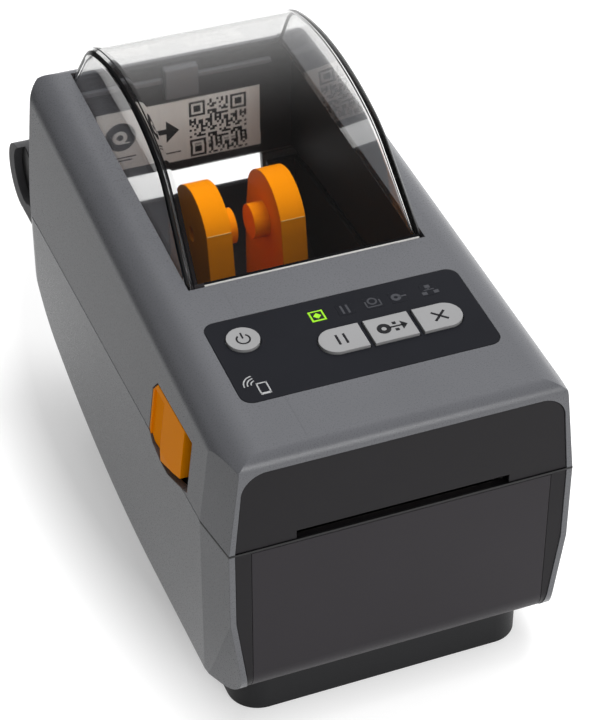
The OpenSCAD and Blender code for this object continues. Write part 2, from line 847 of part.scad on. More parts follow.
// Foot plinth that closes the housing from below and carries the inner parts
module plinth() {
  cy = front_y + plinth_front + plinth_l / 2;
  color([0.16, 0.16, 0.17])
  difference() {
    union() {
      difference() {
        translate([0, cy, 0]) linear_extrude(seam_z / 2) round_rect(2 * plinth_half, plinth_l, plinth_r);
        translate([0, cy, plinth_t]) linear_extrude(seam_z)
          round_rect(2 * plinth_half - 8, plinth_l - 8, plinth_r - 4);
      }
      translate([0, roll_y, 0]) cylinder(h = rack_z - 0.3, r = post_r + 2);
      for (s = [-1, 1])
        translate([-leg_x, roll_y + s * (sync_pr + 1.25 * sync_m + rack_body / 2) - rack_body / 2, 0])
          cube([2 * leg_x, rack_body, rack_z - 0.3]);
      for (x = [-1, 1], y = [5, main_l - 5])
        translate([x * (main_half - 4), main_y0 + y, 0]) cylinder(h = main_z, r = 3);
    }
    base_solid(0, seam_z);
    for (x = [-1, 1], y = [plinth_r, plinth_l - plinth_r])
      translate([x * pad_x, front_y + plinth_front + y, -1]) cylinder(h = 1 + pad_t, r = pad_r);
    for (x = [-1, 1])
      translate([x * leg_x, leg_y, -1]) cylinder(h = plinth_t + 2, r = screw_r + fix_gap);
    for (x = [-1, 1])
      translate([x * leg_x, leg_y, -1])
        cylinder(h = 1 + screw_head_t + screw_gap, r = screw_head + screw_gap);
  }
}

// Four flush foot pads
module foot_pads() {
  color([0.1, 0.1, 0.1])
  for (x = [-1, 1], y = [plinth_r, plinth_l - plinth_r])
    translate([x * pad_x, front_y + plinth_front + y, 0]) cylinder(h = pad_t, r = pad_r - fix_gap);
}

// Screws through the plinth into the deck legs
module plinth_screws() {
  color([0.7, 0.7, 0.72])
  for (x = [-1, 1])
    translate([x * leg_x, leg_y, 0]) {
      translate([0, 0, screw_gap]) cylinder(h = screw_head_t, r = screw_head);
      translate([0, 0, screw_gap]) cylinder(h = plinth_t + screw_l, r = screw_r);
    }
}

// Hinge lobes on the housing's rear corners
module hinge_lobes() {
  color([0.25, 0.25, 0.26])
  both() difference() {
    union() {
      rod(hw - lobe_in - lobe_w, hw - lobe_in, hinge_y, hinge_z, lobe_r);
      translate([hw - lobe_in - lobe_w, rear_y - 8, seam_z - 7])
        cube([lobe_w, hinge_back + 8, 7]);
    }
    difference() {
      base_solid(0, seam_z);
      rod(hw - lobe_in - lobe_w - lobe_gap, big, hinge_y, hinge_z, lobe_r + eps);
    }
    rod(hw - lobe_in - 3, hw, hinge_y - 5, hinge_z + 3, lobe_r - 2);
    rod(0, hw - lobe_in - 4, hinge_y, hinge_z, pin_r + fix_gap);
  }
}

// Steel hinge pins
module hinge_pins() {
  color([0.75, 0.75, 0.77])
  both() rod(knuckle_x - 1, hw - lobe_in - 4, hinge_y, hinge_z, pin_r);
}

// Catches for the latch hooks
module latch_catches() {
  color([0.3, 0.3, 0.31])
  both() translate([hook_x, bar_y + bar_l / 2 + 0.6, hook_z + hook_t + catch_gap])
    cube([hw - wall - hook_x, hook_nose + 2, catch_h]);
}

// Roll bay tub with the post for the centring pinion
module media_bay() {
  w = bay_half + bay_t;
  color([0.13, 0.13, 0.14])
  difference() {
    union() {
      intersection() {
        rod(-w, w, roll_y, roll_z, bay_r + bay_t);
        translate([-hw, -body_l, 0]) cube([body_w, 2 * body_l, seam_z - seam_gap]);
      }
      translate([0, roll_y, rack_z - 0.1]) cylinder(h = roll_z - bay_r - rack_z, r = post_r);
    }
    rod(-bay_half, bay_half, roll_y, roll_z, bay_r);
    both()
      translate([holder_gap / 2 + stem_in - slot_clear, roll_y - stem_l / 2 - slot_clear, rack_z + rack_t])
        cube([holder_travel + stem_w + 2 * slot_clear, stem_l + 2 * slot_clear, bay_r / 2]);
    translate([-fan_half, roll_y, seam_z - fan_down + 4]) cube([2 * fan_half, bay_r + 10, big]);
  }
}

// Deck between the print mechanism and the roll bay
module front_deck() {
  y0 = platen_cy + cradle_back;
  color([0.15, 0.15, 0.16])
  difference() {
    union() {
      translate([-bay_half, y0, deck_z - deck_t]) cube([2 * bay_half, bay_front - y0 - 0.2, deck_t]);
      both() translate([leg_x, leg_y, plinth_t]) cylinder(h = deck_z - plinth_t - eps, r = leg_r);
      both() translate([bay_half - 3, sensor_cy - 4, sensor_cz - 3.5]) cube([3, 8, deck_z - sensor_cz + 3]);
    }
    translate([-sensor_travel - sensor_half - 1, sensor_cy - 6, deck_z - deck_t - 1])
      cube([2 * (sensor_travel + sensor_half + 1), 12, deck_t + 2]);
    rod(-bay_half + 1, bay_half - 1, sensor_cy, sensor_cz, rod_r + fix_gap);
    both() translate([leg_x, leg_y, plinth_t - 1]) cylinder(h = screw_l + 1.5, r = screw_r + fix_gap);
  }
}

// Outline of the print cradle's side plates
module cradle_outline(motor) {
  translate([front_y + cradle_front, plinth_t])
    square([platen_y + cradle_back - cradle_front, seam_z - plinth_t - 1]);
  if (motor)
    translate([motor_cy - motor_r - 1, plinth_t])
      square([2 * motor_r + 2, motor_cz + motor_r + 1 - plinth_t]);
}

// Print cradle with side plates, cross plate and idler post
module print_cradle() {
  color([0.62, 0.63, 0.65])
  difference() {
    union() {
      translate([cradle_half + cradle_t / 2, 0, 0]) across(cradle_t) cradle_outline(true);
      translate([-cradle_half - cradle_t / 2, 0, 0]) across(cradle_t) cradle_outline(false);
      translate([-cradle_half - eps, front_y + 7, motor_cz - 3])
        cube([2 * cradle_half + 2 * eps, 7, cradle_t]);
      rod(cradle_half + cradle_t - eps, gear_x + gear_w, idler_cy, idler_cz, idler_post_r);
    }
    rod(-hw, hw, platen_cy, platen_cz, bearing_r + fix_gap);
    rod(cradle_half - 1, hw, motor_cy, motor_cz, spindle_r + 2);
    linear_extrude(belly_z + 8) difference() {
      square([4 * hw, 4 * body_l], center = true);
      translate([0, front_y + plinth_front + plinth_l / 2])
        square([2 * plinth_half - 8.2, plinth_l - 8.2], center = true);
    }
  }
}

// Flanged bearings of the platen
module platen_bearings() {
  color([0.85, 0.83, 0.78])
  both() difference() {
    union() {
      rod(cradle_half - 1, cradle_half + cradle_t, platen_cy, platen_cz, bearing_r);
      rod(cradle_half - 1.6, cradle_half, platen_cy, platen_cz, bearing_r + 0.9);
    }
    rod(0, hw, platen_cy, platen_cz, shaft_r + run_gap);
  }
}

// Motor can against the cradle plate
module motor_can() {
  color([0.5, 0.5, 0.52])
  difference() {
    union() {
      rod(cradle_half - motor_l, cradle_half, motor_cy, motor_cz, motor_r);
      rod(cradle_half - eps, cradle_half + cradle_t, motor_cy, motor_cz, spindle_r + 2 - fix_gap);
    }
    rod(cradle_half - 8, hw, motor_cy, motor_cz, spindle_r + run_gap);
  }
}

// Main circuit board on the plinth's bosses
module main_board() {
  color([0.1, 0.35, 0.18])
  translate([-main_half, main_y0, main_z]) cube([2 * main_half, main_l, board_t]);
}

// Capacitors, chips and connectors on the main board
module board_parts() {
  z = main_z + board_t;
  color([0.12, 0.12, 0.13]) {
    for (p = [[-20, 16], [-8, 16], [20, 70]])
      translate([p[0], main_y0 + p[1], z]) cylinder(h = cap_h, r = cap_r);
    for (p = [[-12, 48], [10, 52]])
      translate([p[0] - chip_w / 2, main_y0 + p[1] - chip_w / 2, z]) cube([chip_w, chip_w, chip_h]);
    for (y = [plug_y, plug_y + plug_step])
      translate([plug_w / 2 - main_half, main_y0 + y - plug_l / 2, z]) cube([plug_w, plug_l, plug_h]);
  }
}

// Body of a rear socket on the right side
module socket_body() {
  translate([jack_x - jack_w / 2, jack_y - jack_d, jack_z - jack_h / 2]) cube([jack_w, jack_d, jack_h]);
}

// Power inlet on the left of the rear
module power_inlet() {
  color([0.12, 0.12, 0.13])
  mirror([1, 0, 0]) difference() {
    socket_body();
    translate([jack_x, jack_y + 1, jack_z]) rotate([90, 0, 0]) cylinder(h = 10, r = jack_w / 2 - 1.2);
  }
  color([0.12, 0.12, 0.13])
  translate([-jack_x, jack_y - 1, jack_z]) rotate([90, 0, 0]) cylinder(h = 9, r = 0.9);
}

// Data socket on the right of the rear
module data_socket() {
  color([0.7, 0.7, 0.72])
  difference() {
    socket_body();
    difference() {
      translate([jack_x - jack_w / 2 + 0.8, jack_y - 9, jack_z - jack_h / 2 + 0.8])
        cube([jack_w - 1.6, 10, jack_h - 1.6]);
      translate([jack_x - jack_w / 4, jack_y - 10, jack_z - jack_h / 4]) cube([jack_w / 2, 9, jack_h / 2]);
    }
  }
}

// Rod that carries the label sensor
module sensor_rod() {
  color([0.75, 0.75, 0.77])
  rod(-bay_half + 1, bay_half - 1, sensor_cy, sensor_cz, rod_r);
}

// Sliding label sensor
module media_sensor() {
  color([0.1, 0.1, 0.11])
  difference() {
    translate([-sensor_half, sensor_cy - 5, sensor_cz - 3])
      cube([2 * sensor_half, 10, deck_z - sensor_cz + 3]);
    rod(-hw, hw, sensor_cy, sensor_cz, rod_r + run_gap);
  }
}

// Right roll holder: head, hub and stem
module holder_half() {
  x0 = holder_gap / 2;
  color([0.95, 0.56, 0.05])
  difference() {
    union() {
      intersection() {
        translate([x0 + holder_t / 2, 0, 0]) across(holder_t) {
          intersection() {
            translate([roll_y, roll_z]) circle(holder_r);
            translate([roll_y - holder_r, roll_z + crease_up - eps]) square([2 * holder_r, holder_r]);
          }
          polygon([
            [roll_y - holder_l / 2, roll_z - bay_r], [roll_y + holder_l / 2, roll_z - bay_r],
            [roll_y + holder_l / 2, roll_z - 10], [roll_y + crease_y, roll_z + crease_up],
            [roll_y - crease_y, roll_z + crease_up], [roll_y - holder_l / 2, roll_z - 10]
          ]);
        }
        rod(0, hw, roll_y, roll_z, bay_r - holder_clear);
      }
      rod(x0 - hub_l, x0 + eps, roll_y, roll_z, hub_r);
      translate([x0 + stem_in, roll_y - stem_l / 2, rack_z])
        cube([stem_w, stem_l, roll_z - bay_r + 8 - rack_z]);
    }
    rod(x0 - hub_l + hub_end, hw, roll_y, roll_z, hub_bore);
  }
}

// Rack of the right holder behind the pinion
module rack_half() {
  pitch = PI * sync_m;
  x0 = holder_gap / 2 + stem_in;
  y0 = roll_y + sync_pr + 1.25 * sync_m;
  n = ceil((holder_travel + 2 * rack_over) / pitch);
  color([0.85, 0.5, 0.08])
  translate([0, 0, rack_z]) linear_extrude(rack_t) {
    translate([-holder_travel - rack_over, y0]) square([holder_travel + rack_over + x0 + stem_w, rack_body]);
    translate([x0, roll_y + stem_l / 2]) square([stem_w, y0 - roll_y - stem_l / 2 + rack_body]);
    for (i = [-n:1])
      translate([(i + 0.5) * pitch, y0])
        if ((i + 1) * pitch < rack_over && i * pitch > -holder_travel - rack_over)
          polygon([
            [-0.12 * pitch, -2.1 * sync_m], [0.12 * pitch, -2.1 * sync_m],
            [0.36 * pitch, sync_m / 4], [-0.36 * pitch, sync_m / 4]
          ]);
  }
}

module holder_right() {
  holder_half();
}
module holder_left() {
  mirror([1, 0, 0]) holder_half();
}
module rack_right() {
  rack_half();
}
module rack_left() {
  color([0.85, 0.5, 0.08])
  translate([0, roll_y, 0]) rotate([0, 0, 180]) translate([0, -roll_y, 0]) rack_half();
}

// Pinion that keeps the holders centred
module sync_pinion() {
  color([0.9, 0.9, 0.88])
  translate([0, roll_y, rack_z]) difference() {
    linear_extrude(rack_t) rotate(90) polygon(gear_points(sync_teeth, sync_m));
    translate([0, 0, -1]) cylinder(h = rack_t + 2, r = post_r + run_gap);
  }
}

// Drive gear in the gear plane, turned to its phase
module drive_gear(y, z, teeth, phase, bore) {
  translate([gear_x + gear_w / 2, y, z]) rotate([90, 0, 90]) linear_extrude(gear_w, center = true)
    difference() {
      rotate(phase) polygon(gear_points(teeth, drive_m));
      circle(bore);
    }
}

// Rubber sleeve of the platen
module platen_sleeve() {
  color([0.12, 0.12, 0.12])
  difference() {
    rod(-platen_half, platen_half, platen_cy, platen_cz, platen_r);
    rod(-hw, hw, platen_cy, platen_cz, shaft_r + fix_gap);
  }
}

// Platen shaft
module platen_shaft() {
  color([0.75, 0.75, 0.77])
  rod(-cradle_half - cradle_t - shaft_over, gear_x + gear_w + shaft_over, platen_cy, platen_cz, shaft_r);
}

// Platen gear
module platen_gear() {
  color([0.9, 0.9, 0.88])
  drive_gear(platen_cy, platen_cz, platen_teeth, -idler_a, shaft_r + fix_gap);
}

// Idler gear
module idler_gear() {
  color([0.9, 0.9, 0.88])
  drive_gear(idler_cy, idler_cz, idler_teeth, idler_phase, idler_post_r + run_gap);
}

// Motor shaft
module motor_shaft() {
  color([0.75, 0.75, 0.77])
  rod(cradle_half - 7.5, gear_x + gear_w + shaft_over, motor_cy, motor_cz, spindle_r);
}

// Motor pinion
module motor_pinion() {
  color([0.8, 0.66, 0.35])
  drive_gear(motor_cy, motor_cz, motor_teeth, motor_phase, spindle_r + fix_gap);
}

// Top cover shell with key bosses, latch bar guides and hinge knuckles
module cover_shell() {
  color([0.44, 0.44, 0.45])
  difference() {
    union() {
      difference() {
        cover_solid(0, cover_z);
        cover_solid(wall, cover_z - 1);
      }
      intersection() {
        cover_solid(wall - eps, cover_z);
        union() {
          both() translate([deckle_half + 2.5, bar_y - latch_travel - 8, cover_z])
            cube([2, latch_travel + bar_l + 16, big]);
          on_panel() for (x = [-1, 1], v = [-1, 1])
            translate([x * (deckle_half - 2), v * (deckle_l / 2 + 1.5), board_z])
              cylinder(h = -board_z, r = 2.4);
        }
      }
      both() {
        rod(knuckle_x, knuckle_x + knuckle_w, hinge_y, hinge_z, knuckle_r);
        translate([knuckle_x, rear_y - wall / 2, cover_z]) cube([knuckle_w, hinge_back + wall / 2, hinge_up]);
      }
    }
    translate([0, front_y, 0]) along(2 * brow_r + 2) upper_outline(0);
    window_solid(-trim_gap);
    latch_window();
    on_panel() {
      translate([0, 0, -deckle_t]) linear_extrude(10)
        round_rect(2 * (deckle_half + trim_gap), deckle_l + 2 * trim_gap, deckle_r);
      translate([0, 0, -wall - 1]) linear_extrude(10) {
        panel_openings(key_gap);
        lamp_openings(trim_gap);
      }
    }
    both() translate([0, bar_y - latch_travel - bar_l / 2 - latch_gap, bar_z - latch_gap])
      cube([hw - wall - 4, latch_travel + bar_l + 2 * latch_gap, bar_h + 2 * latch_gap]);
    translate([-fan_half, rear_y - 6, 0]) cube([2 * fan_half, 10, cover_z + 0.5]);
    both() rod(hw - lobe_in - lobe_w - lobe_gap, big, hinge_y, hinge_z, lobe_r + lobe_gap);
    rod(-hw, hw, hinge_y, hinge_z, pin_r + run_gap);
  }
}

// Clear window over the roll bay
module window() {
  color([0.55, 0.57, 0.6, 0.4])
  difference() {
    window_solid(0);
    translate([0, 0, -eps]) window_solid(win_t);
  }
}

// Dark upper front bezel
module upper_bezel() {
  color([0.18, 0.18, 0.19])
  difference() {
    intersection() {
      cover_solid(0.3, cover_z);
      translate([0, front_y, 0]) along(2 * brow_r) upper_outline(trim_gap);
    }
    cover_solid(bezel_t + 0.3, cover_z - 1);
    translate([-slot_half, front_y - 1, 0]) cube([2 * slot_half, brow_r + 2, seam_z + slot_h]);
  }
}

// Toothed tear bar behind the upper bezel
module tear_bar() {
  n = floor(2 * slot_half / tear_pitch);
  z0 = seam_z + slot_h + 0.6;
  color([0.75, 0.76, 0.78])
  translate([0, front_y + bezel_t + 0.3 + tear_t / 2, 0]) along(tear_t)
    polygon(concat(
      [[slot_half, z0 + tear_h], [-slot_half, z0 + tear_h]],
      [for (i = [0:2 * n]) [-slot_half + i * slot_half / n, i % 2 == 0 ? z0 : z0 - tear_tooth]]
    ));
}

// Dark control overlay let into the cover
module control_overlay() {
  color([0.17, 0.17, 0.19])
  on_panel() translate([0, 0, -deckle_t]) linear_extrude(deckle_t) difference() {
    round_rect(2 * deckle_half, deckle_l, deckle_r);
    panel_openings(key_gap);
    lamp_openings(trim_gap);
  }
}

// Unlit indicator lenses
module indicator_lenses() {
  color([0.25, 0.25, 0.27])
  on_panel() translate([0, 0, board_z]) linear_extrude(-board_z) for (x = lamp_xs) lamp_outline(x, 0);
}

// Lit status indicator
module status_light() {
  color([0.55, 0.85, 0.2])
  on_panel() translate([0, 0, board_z]) linear_extrude(-board_z) lamp_outline(status_x, 0);
}

// Control circuit board under the panel
module control_board() {
  color([0.1, 0.35, 0.18])
  on_panel() translate([0, 0, board_z - board_t]) linear_extrude(board_t)
    square([2 * deckle_half, deckle_l + 8], center = true);
}

// Four key switches on the control board
module key_switches() {
  color([0.2, 0.2, 0.2])
  on_panel() for (p = switch_places) translate([p[0], p[1], board_z]) {
    linear_extrude(switch_h / 2) square(6, center = true);
    cylinder(h = switch_h, r = 1.6);
  }
}

// Inner liner round the roll bay, fixed under the cover
module cover_liner() {
  y0 = roll_y - bay_r;
  color([0.13, 0.13, 0.14])
  intersection() {
    cover_solid(wall, liner_z);
    difference() {
      translate([-bay_half - liner_t, y0, 0]) cube([2 * (bay_half + liner_t), liner_y + liner_t - y0, big]);
      translate([-bay_half, y0 + liner_t, 0]) cube([2 * bay_half, liner_y - y0 - liner_t, big]);
      translate([-bay_half, y0 - 1, 0]) cube([2 * bay_half, liner_t + 2, seam_z + 16]);
      window_solid(-trim_gap);
    }
  }
}

// Pale instruction sticker on the liner's rear wall
module guide_sticker() {
  color([0.82, 0.81, 0.78])
  translate([-sticker_half, liner_y - 0.2, seam_z + 7.5]) cube([2 * sticker_half, 0.2, sticker_h]);
}

// Sheet bracket that carries the print head
module head_bracket() {
  w = head_half + 5;
  color([0.7, 0.71, 0.73])
  difference() {
    intersection() {
      cover_solid(wall, cover_z);
      union() {
        translate([-ear_x - ear_w, bracket_y, pivot_z - 4])
          cube([2 * (ear_x + ear_w), bracket_t, flange_z + bracket_t - pivot_z + 4]);
        both() translate([ear_x, bracket_y, pivot_z - 4]) cube([ear_w, bracket_t, big]);
        translate([-w, spring_y - spring_r - 1, flange_z])
          cube([2 * w, bracket_y - spring_y + spring_r + 1 + bracket_t, bracket_t]);
        both() translate([w - bracket_t, bracket_y, pivot_z - 4])
          cube([bracket_t, pivot_y + 4 - bracket_y, flange_z + bracket_t - pivot_z + 4]);
      }
    }
    rod(-hw, hw, pivot_y, pivot_z, pivot_r + run_gap);
    translate([-head_half - 1, bracket_y - 1, 0]) cube([2 * head_half + 2, bracket_t + 2, spring_z + 1]);
  }
}

// Print head plate with pivot ears
module print_head() {
  color([0.85, 0.84, 0.8])
  difference() {
    union() {
      translate([-head_half, head_y0, head_z]) cube([2 * head_half, pivot_y + 2 - head_y0, head_t]);
      both() translate([head_half - 3, pivot_y - 3, head_z]) cube([3, 6, pivot_z + 3 - head_z]);
    }
    rod(-hw, hw, pivot_y, pivot_z, pivot_r + fix_gap);
  }
}

// Finned heat sink on the print head
module heat_sink() {
  l = bracket_y - head_y0 - 1;
  n = 12;
  color([0.6, 0.61, 0.63])
  translate([-head_half, head_y0, head_z + head_t]) difference() {
    cube([2 * head_half, l, sink_h]);
    for (i = [1:n - 1])
      if (abs(abs(i * 2 * head_half / n - head_half) - spring_x) > 4)
        translate([i * 2 * head_half / n - sink_groove / 2, -1, sink_t]) cube([sink_groove, l + 2, sink_h]);
  }
}

// Rod on which the print head turns
module pivot_rod() {
  color([0.75, 0.75, 0.77])
  rod(-head_half - 6, head_half + 6, pivot_y, pivot_z, pivot_r);
}

// Springs that press the print head down
module head_springs() {
  color([0.75, 0.75, 0.77])
  both() translate([spring_x, spring_y, spring_z]) difference() {
    cylinder(h = spring_l, r = spring_r);
    translate([0, 0, -1]) cylinder(h = spring_l + 2, r = spring_r - 0.7);
  }
}

// Release latch tabs on both sides
module latch_tabs() {
  color([0.95, 0.56, 0.05])
  both() difference() {
    intersection() {
      across(body_w + 4) latch_outline(0, 0);
      difference() {
        cover_sides(0);
        cover_sides(latch_t);
      }
      translate([hw - 12, -body_l, 0]) cube([12, 2 * body_l, big]);
    }
    latch_scoop();
  }
}

// Bar that joins the two latch tabs
module latch_bar() {
  color([0.16, 0.16, 0.17])
  translate([-hook_x, bar_y - bar_l / 2, bar_z]) cube([2 * hook_x, bar_l, bar_h]);
}

// Hooks that reach down to the catches
module latch_hooks() {
  color([0.16, 0.16, 0.17])
  both() intersection() {
    union() {
      translate([hook_x, bar_y - bar_l / 2, hook_z]) cube([3, bar_l, bar_z + bar_h - hook_z]);
      translate([hook_x, bar_y, hook_z]) cube([3, bar_l / 2 + hook_nose, hook_t]);
    }
    cover_sides(latch_t);
  }
}

// Power, pause, feed and cancel keys
module power_key() {
  color([0.72, 0.72, 0.73])
  key_body() {
    power_outline(0);
    power_outline(key_lip);
    stem_outline(0);
  }
}
module pause_key() {
  color([0.72, 0.72, 0.73])
  key_body() {
    pause_outline(0);
    translate([row_x - row_pitch, row_v]) square([row_w - 2, row_l + 2 * key_lip], center = true);
    stem_outline(1);
  }
}
module feed_key() {
  color([0.72, 0.72, 0.73])
  key_body() {
    feed_outline(0);
    translate([row_x, row_v]) square([row_w - 2, row_l + 2 * key_lip], center = true);
    stem_outline(2);
  }
}
module cancel_key() {
  color([0.72, 0.72, 0.73])
  key_body() {
    cancel_outline(0);
    translate([row_x + row_pitch, row_v]) square([row_w - 2, row_l + 2 * key_lip], center = true);
    stem_outline(3);
  }
}

base_shell();
lower_bezel();
lower_panel();
plinth();
foot_pads();
plinth_screws();
hinge_lobes();
hinge_pins();
latch_catches();
media_bay();
front_deck();
print_cradle();
platen_bearings();
motor_can();
main_board();
board_parts();
power_inlet();
data_socket();
sensor_rod();
holder_left();
holder_right();
rack_left();
rack_right();
sync_pinion();
platen_sleeve();
platen_shaft();
platen_gear();
idler_gear();
motor_shaft();
motor_pinion();
media_sensor();
cover_shell();
window();
upper_bezel();
tear_bar();
control_overlay();
indicator_lenses();
status_light();
control_board();
key_switches();
cover_liner();
guide_sticker();
head_bracket();
print_head();
heat_sink();
pivot_rod();
head_springs();
latch_tabs();
latch_bar();
latch_hooks();
power_key();
pause_key();
feed_key();
cancel_key();
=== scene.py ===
"""Studio scene of a compact desktop label printer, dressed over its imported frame."""

import json
import logging
import math
from dataclasses import dataclass
from enum import Enum

import bmesh
import bpy
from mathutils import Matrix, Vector

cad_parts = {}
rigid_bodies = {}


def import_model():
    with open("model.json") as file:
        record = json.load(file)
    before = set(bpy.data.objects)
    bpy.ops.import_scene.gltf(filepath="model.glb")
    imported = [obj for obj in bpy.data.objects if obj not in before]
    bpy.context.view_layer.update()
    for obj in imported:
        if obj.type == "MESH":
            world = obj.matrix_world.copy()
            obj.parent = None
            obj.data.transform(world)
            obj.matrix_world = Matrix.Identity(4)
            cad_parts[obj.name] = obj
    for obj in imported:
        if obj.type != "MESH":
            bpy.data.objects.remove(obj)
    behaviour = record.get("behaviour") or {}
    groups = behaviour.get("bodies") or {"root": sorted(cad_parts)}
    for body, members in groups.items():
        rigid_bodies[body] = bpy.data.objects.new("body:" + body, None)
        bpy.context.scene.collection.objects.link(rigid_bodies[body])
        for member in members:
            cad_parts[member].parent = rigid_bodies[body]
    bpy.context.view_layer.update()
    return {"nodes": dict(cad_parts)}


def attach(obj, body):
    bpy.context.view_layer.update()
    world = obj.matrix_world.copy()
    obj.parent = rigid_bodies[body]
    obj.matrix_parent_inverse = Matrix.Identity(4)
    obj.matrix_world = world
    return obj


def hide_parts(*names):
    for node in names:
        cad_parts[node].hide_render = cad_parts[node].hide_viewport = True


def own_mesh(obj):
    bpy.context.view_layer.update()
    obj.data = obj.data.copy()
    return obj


for leftover in list(bpy.data.objects):
    bpy.data.objects.remove(leftover)
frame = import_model()

LOG = logging.getLogger("label_printer")
MM = 0.001
RIGHT = Vector((1, 0, 0))
BACK = Vector((0, 1, 0))
UP = Vector((0, 0, 1))
SIDES = (-1, 1)
UNIT = (0.0, 1.0)
NOISE_SPAN = (0.3, 0.7)
COIL_STEPS = 28
COIL_SIDES = 8

Triple = tuple[float, float, float]
Point = tuple[float, float]
Outline = list[Point]
Socket = bpy.types.NodeSocket
Mesh = bmesh.types.BMesh


def tone(red: int, green: int, blue: int) -> Triple:
    """Turns a display colour into a linear one.

    Args:
        red: red from 0 to 255.
        green: green from 0 to 255.
        blue: blue from 0 to 255.

    Returns:
        The colour as three linear numbers.
    """
    def linear(level: int) -> float:
        """Undoes the display curve of one channel."""
        share = level / 255
        return share / 12.92 if share <= 0.04045 else ((share + 0.055) / 1.055) ** 2.4

    return linear(red), linear(green), linear(blue)


def shaded(tint: Triple, factor: float, lift: float = 0.0) -> Triple:
    """Gives a lighter or darker shade of a colour."""
    return tuple(min(1.0, level * factor + lift) for level in tint)


class Slot(Enum):
    """Material slots of the record, which new pieces are passed but which nothing reads."""

    HOUSING = "housing_grey"
    INNER = "inner_dark"
    ORANGE = "orange_plastic"
    OVERLAY = "overlay_dark"
    KEY = "key_grey"
    CLEAR = "clear_smoke"
    LOBE = "plinth_dark"
    STICKER = "sticker_paper"
    STEEL = "steel"
    PART = "part_black"


class Mix(Enum):
    """Kinds of mix, each with its data type, its two inputs and its output."""

    COLOUR = ("RGBA", 6, 7, 2)
    LEVEL = ("FLOAT", 2, 3, 0)


class Wiring:
    """A node tree under construction."""

    def __init__(self, tree: bpy.types.NodeTree) -> None:
        """Empties a tree, ready to be filled.

        Args:
            tree: the node tree.
        """
        self.tree = tree
        self.tree.nodes.clear()

    def add(self, kind: str, **settings: object) -> bpy.types.Node:
        """Adds a node.

        Args:
            kind: the node's type.
            settings: attributes to set on it.

        Returns:
            The new node.
        """
        node = self.tree.nodes.new(kind)
        for key, value in settings.items():
            setattr(node, key, value)
        return node

    def wire(self, source: Socket, target: Socket) -> None:
        """Links two sockets."""
        self.tree.links.new(source, target)

    def join(self, operation: str, first: Socket, second: Socket, clamp: bool = False) -> Socket:
        """Works out one value from two.

        Args:
            operation: the operation's name.
            first: the first value.
            second: the second value.
            clamp: whether the result stays between 0 and 1.

        Returns:
            The result's socket.
        """
        node = self.add("ShaderNodeMath", operation=operation, use_clamp=clamp)
        for value, socket in zip((first, second), node.inputs):
            self.wire(value, socket)
        return node.outputs[0]

    def span(self, value: Socket, source: Point, target: Point, curve: str = "LINEAR") -> Socket:
        """Maps a value from one range onto another.

        Args:
            value: the socket to map.
            source: the range read.
            target: the range given.
            curve: how the value moves between the ends.

        Returns:
            The mapped socket.
        """
        node = self.add("ShaderNodeMapRange", interpolation_type=curve)
        for key, number in zip(("From Min", "From Max", "To Min", "To Max"), (*source, *target)):
            node.inputs[key].default_value = number
        self.wire(value, node.inputs["Value"])
        return node.outputs["Result"]

    def blend(self, factor: Socket, first: object, second: object, mix: Mix = Mix.COLOUR) -> Socket:
        """Mixes two colours or two levels.

        Args:
            factor: the share of the second one.
            first: a constant or a socket.
            second: a constant or a socket.
            mix: what is mixed.

        Returns:
            The mixed socket.
        """
        kind, first_in, second_in, out = mix.value
        node = self.add("ShaderNodeMix", data_type=kind)
        self.wire(factor, node.inputs[0])
        for socket, value in ((node.inputs[first_in], first), (node.inputs[second_in], second)):
            if isinstance(value, Socket):
                self.wire(value, socket)
            else:
                socket.default_value = (*value, 1.0) if mix is Mix.COLOUR else value
        return node.outputs[out]


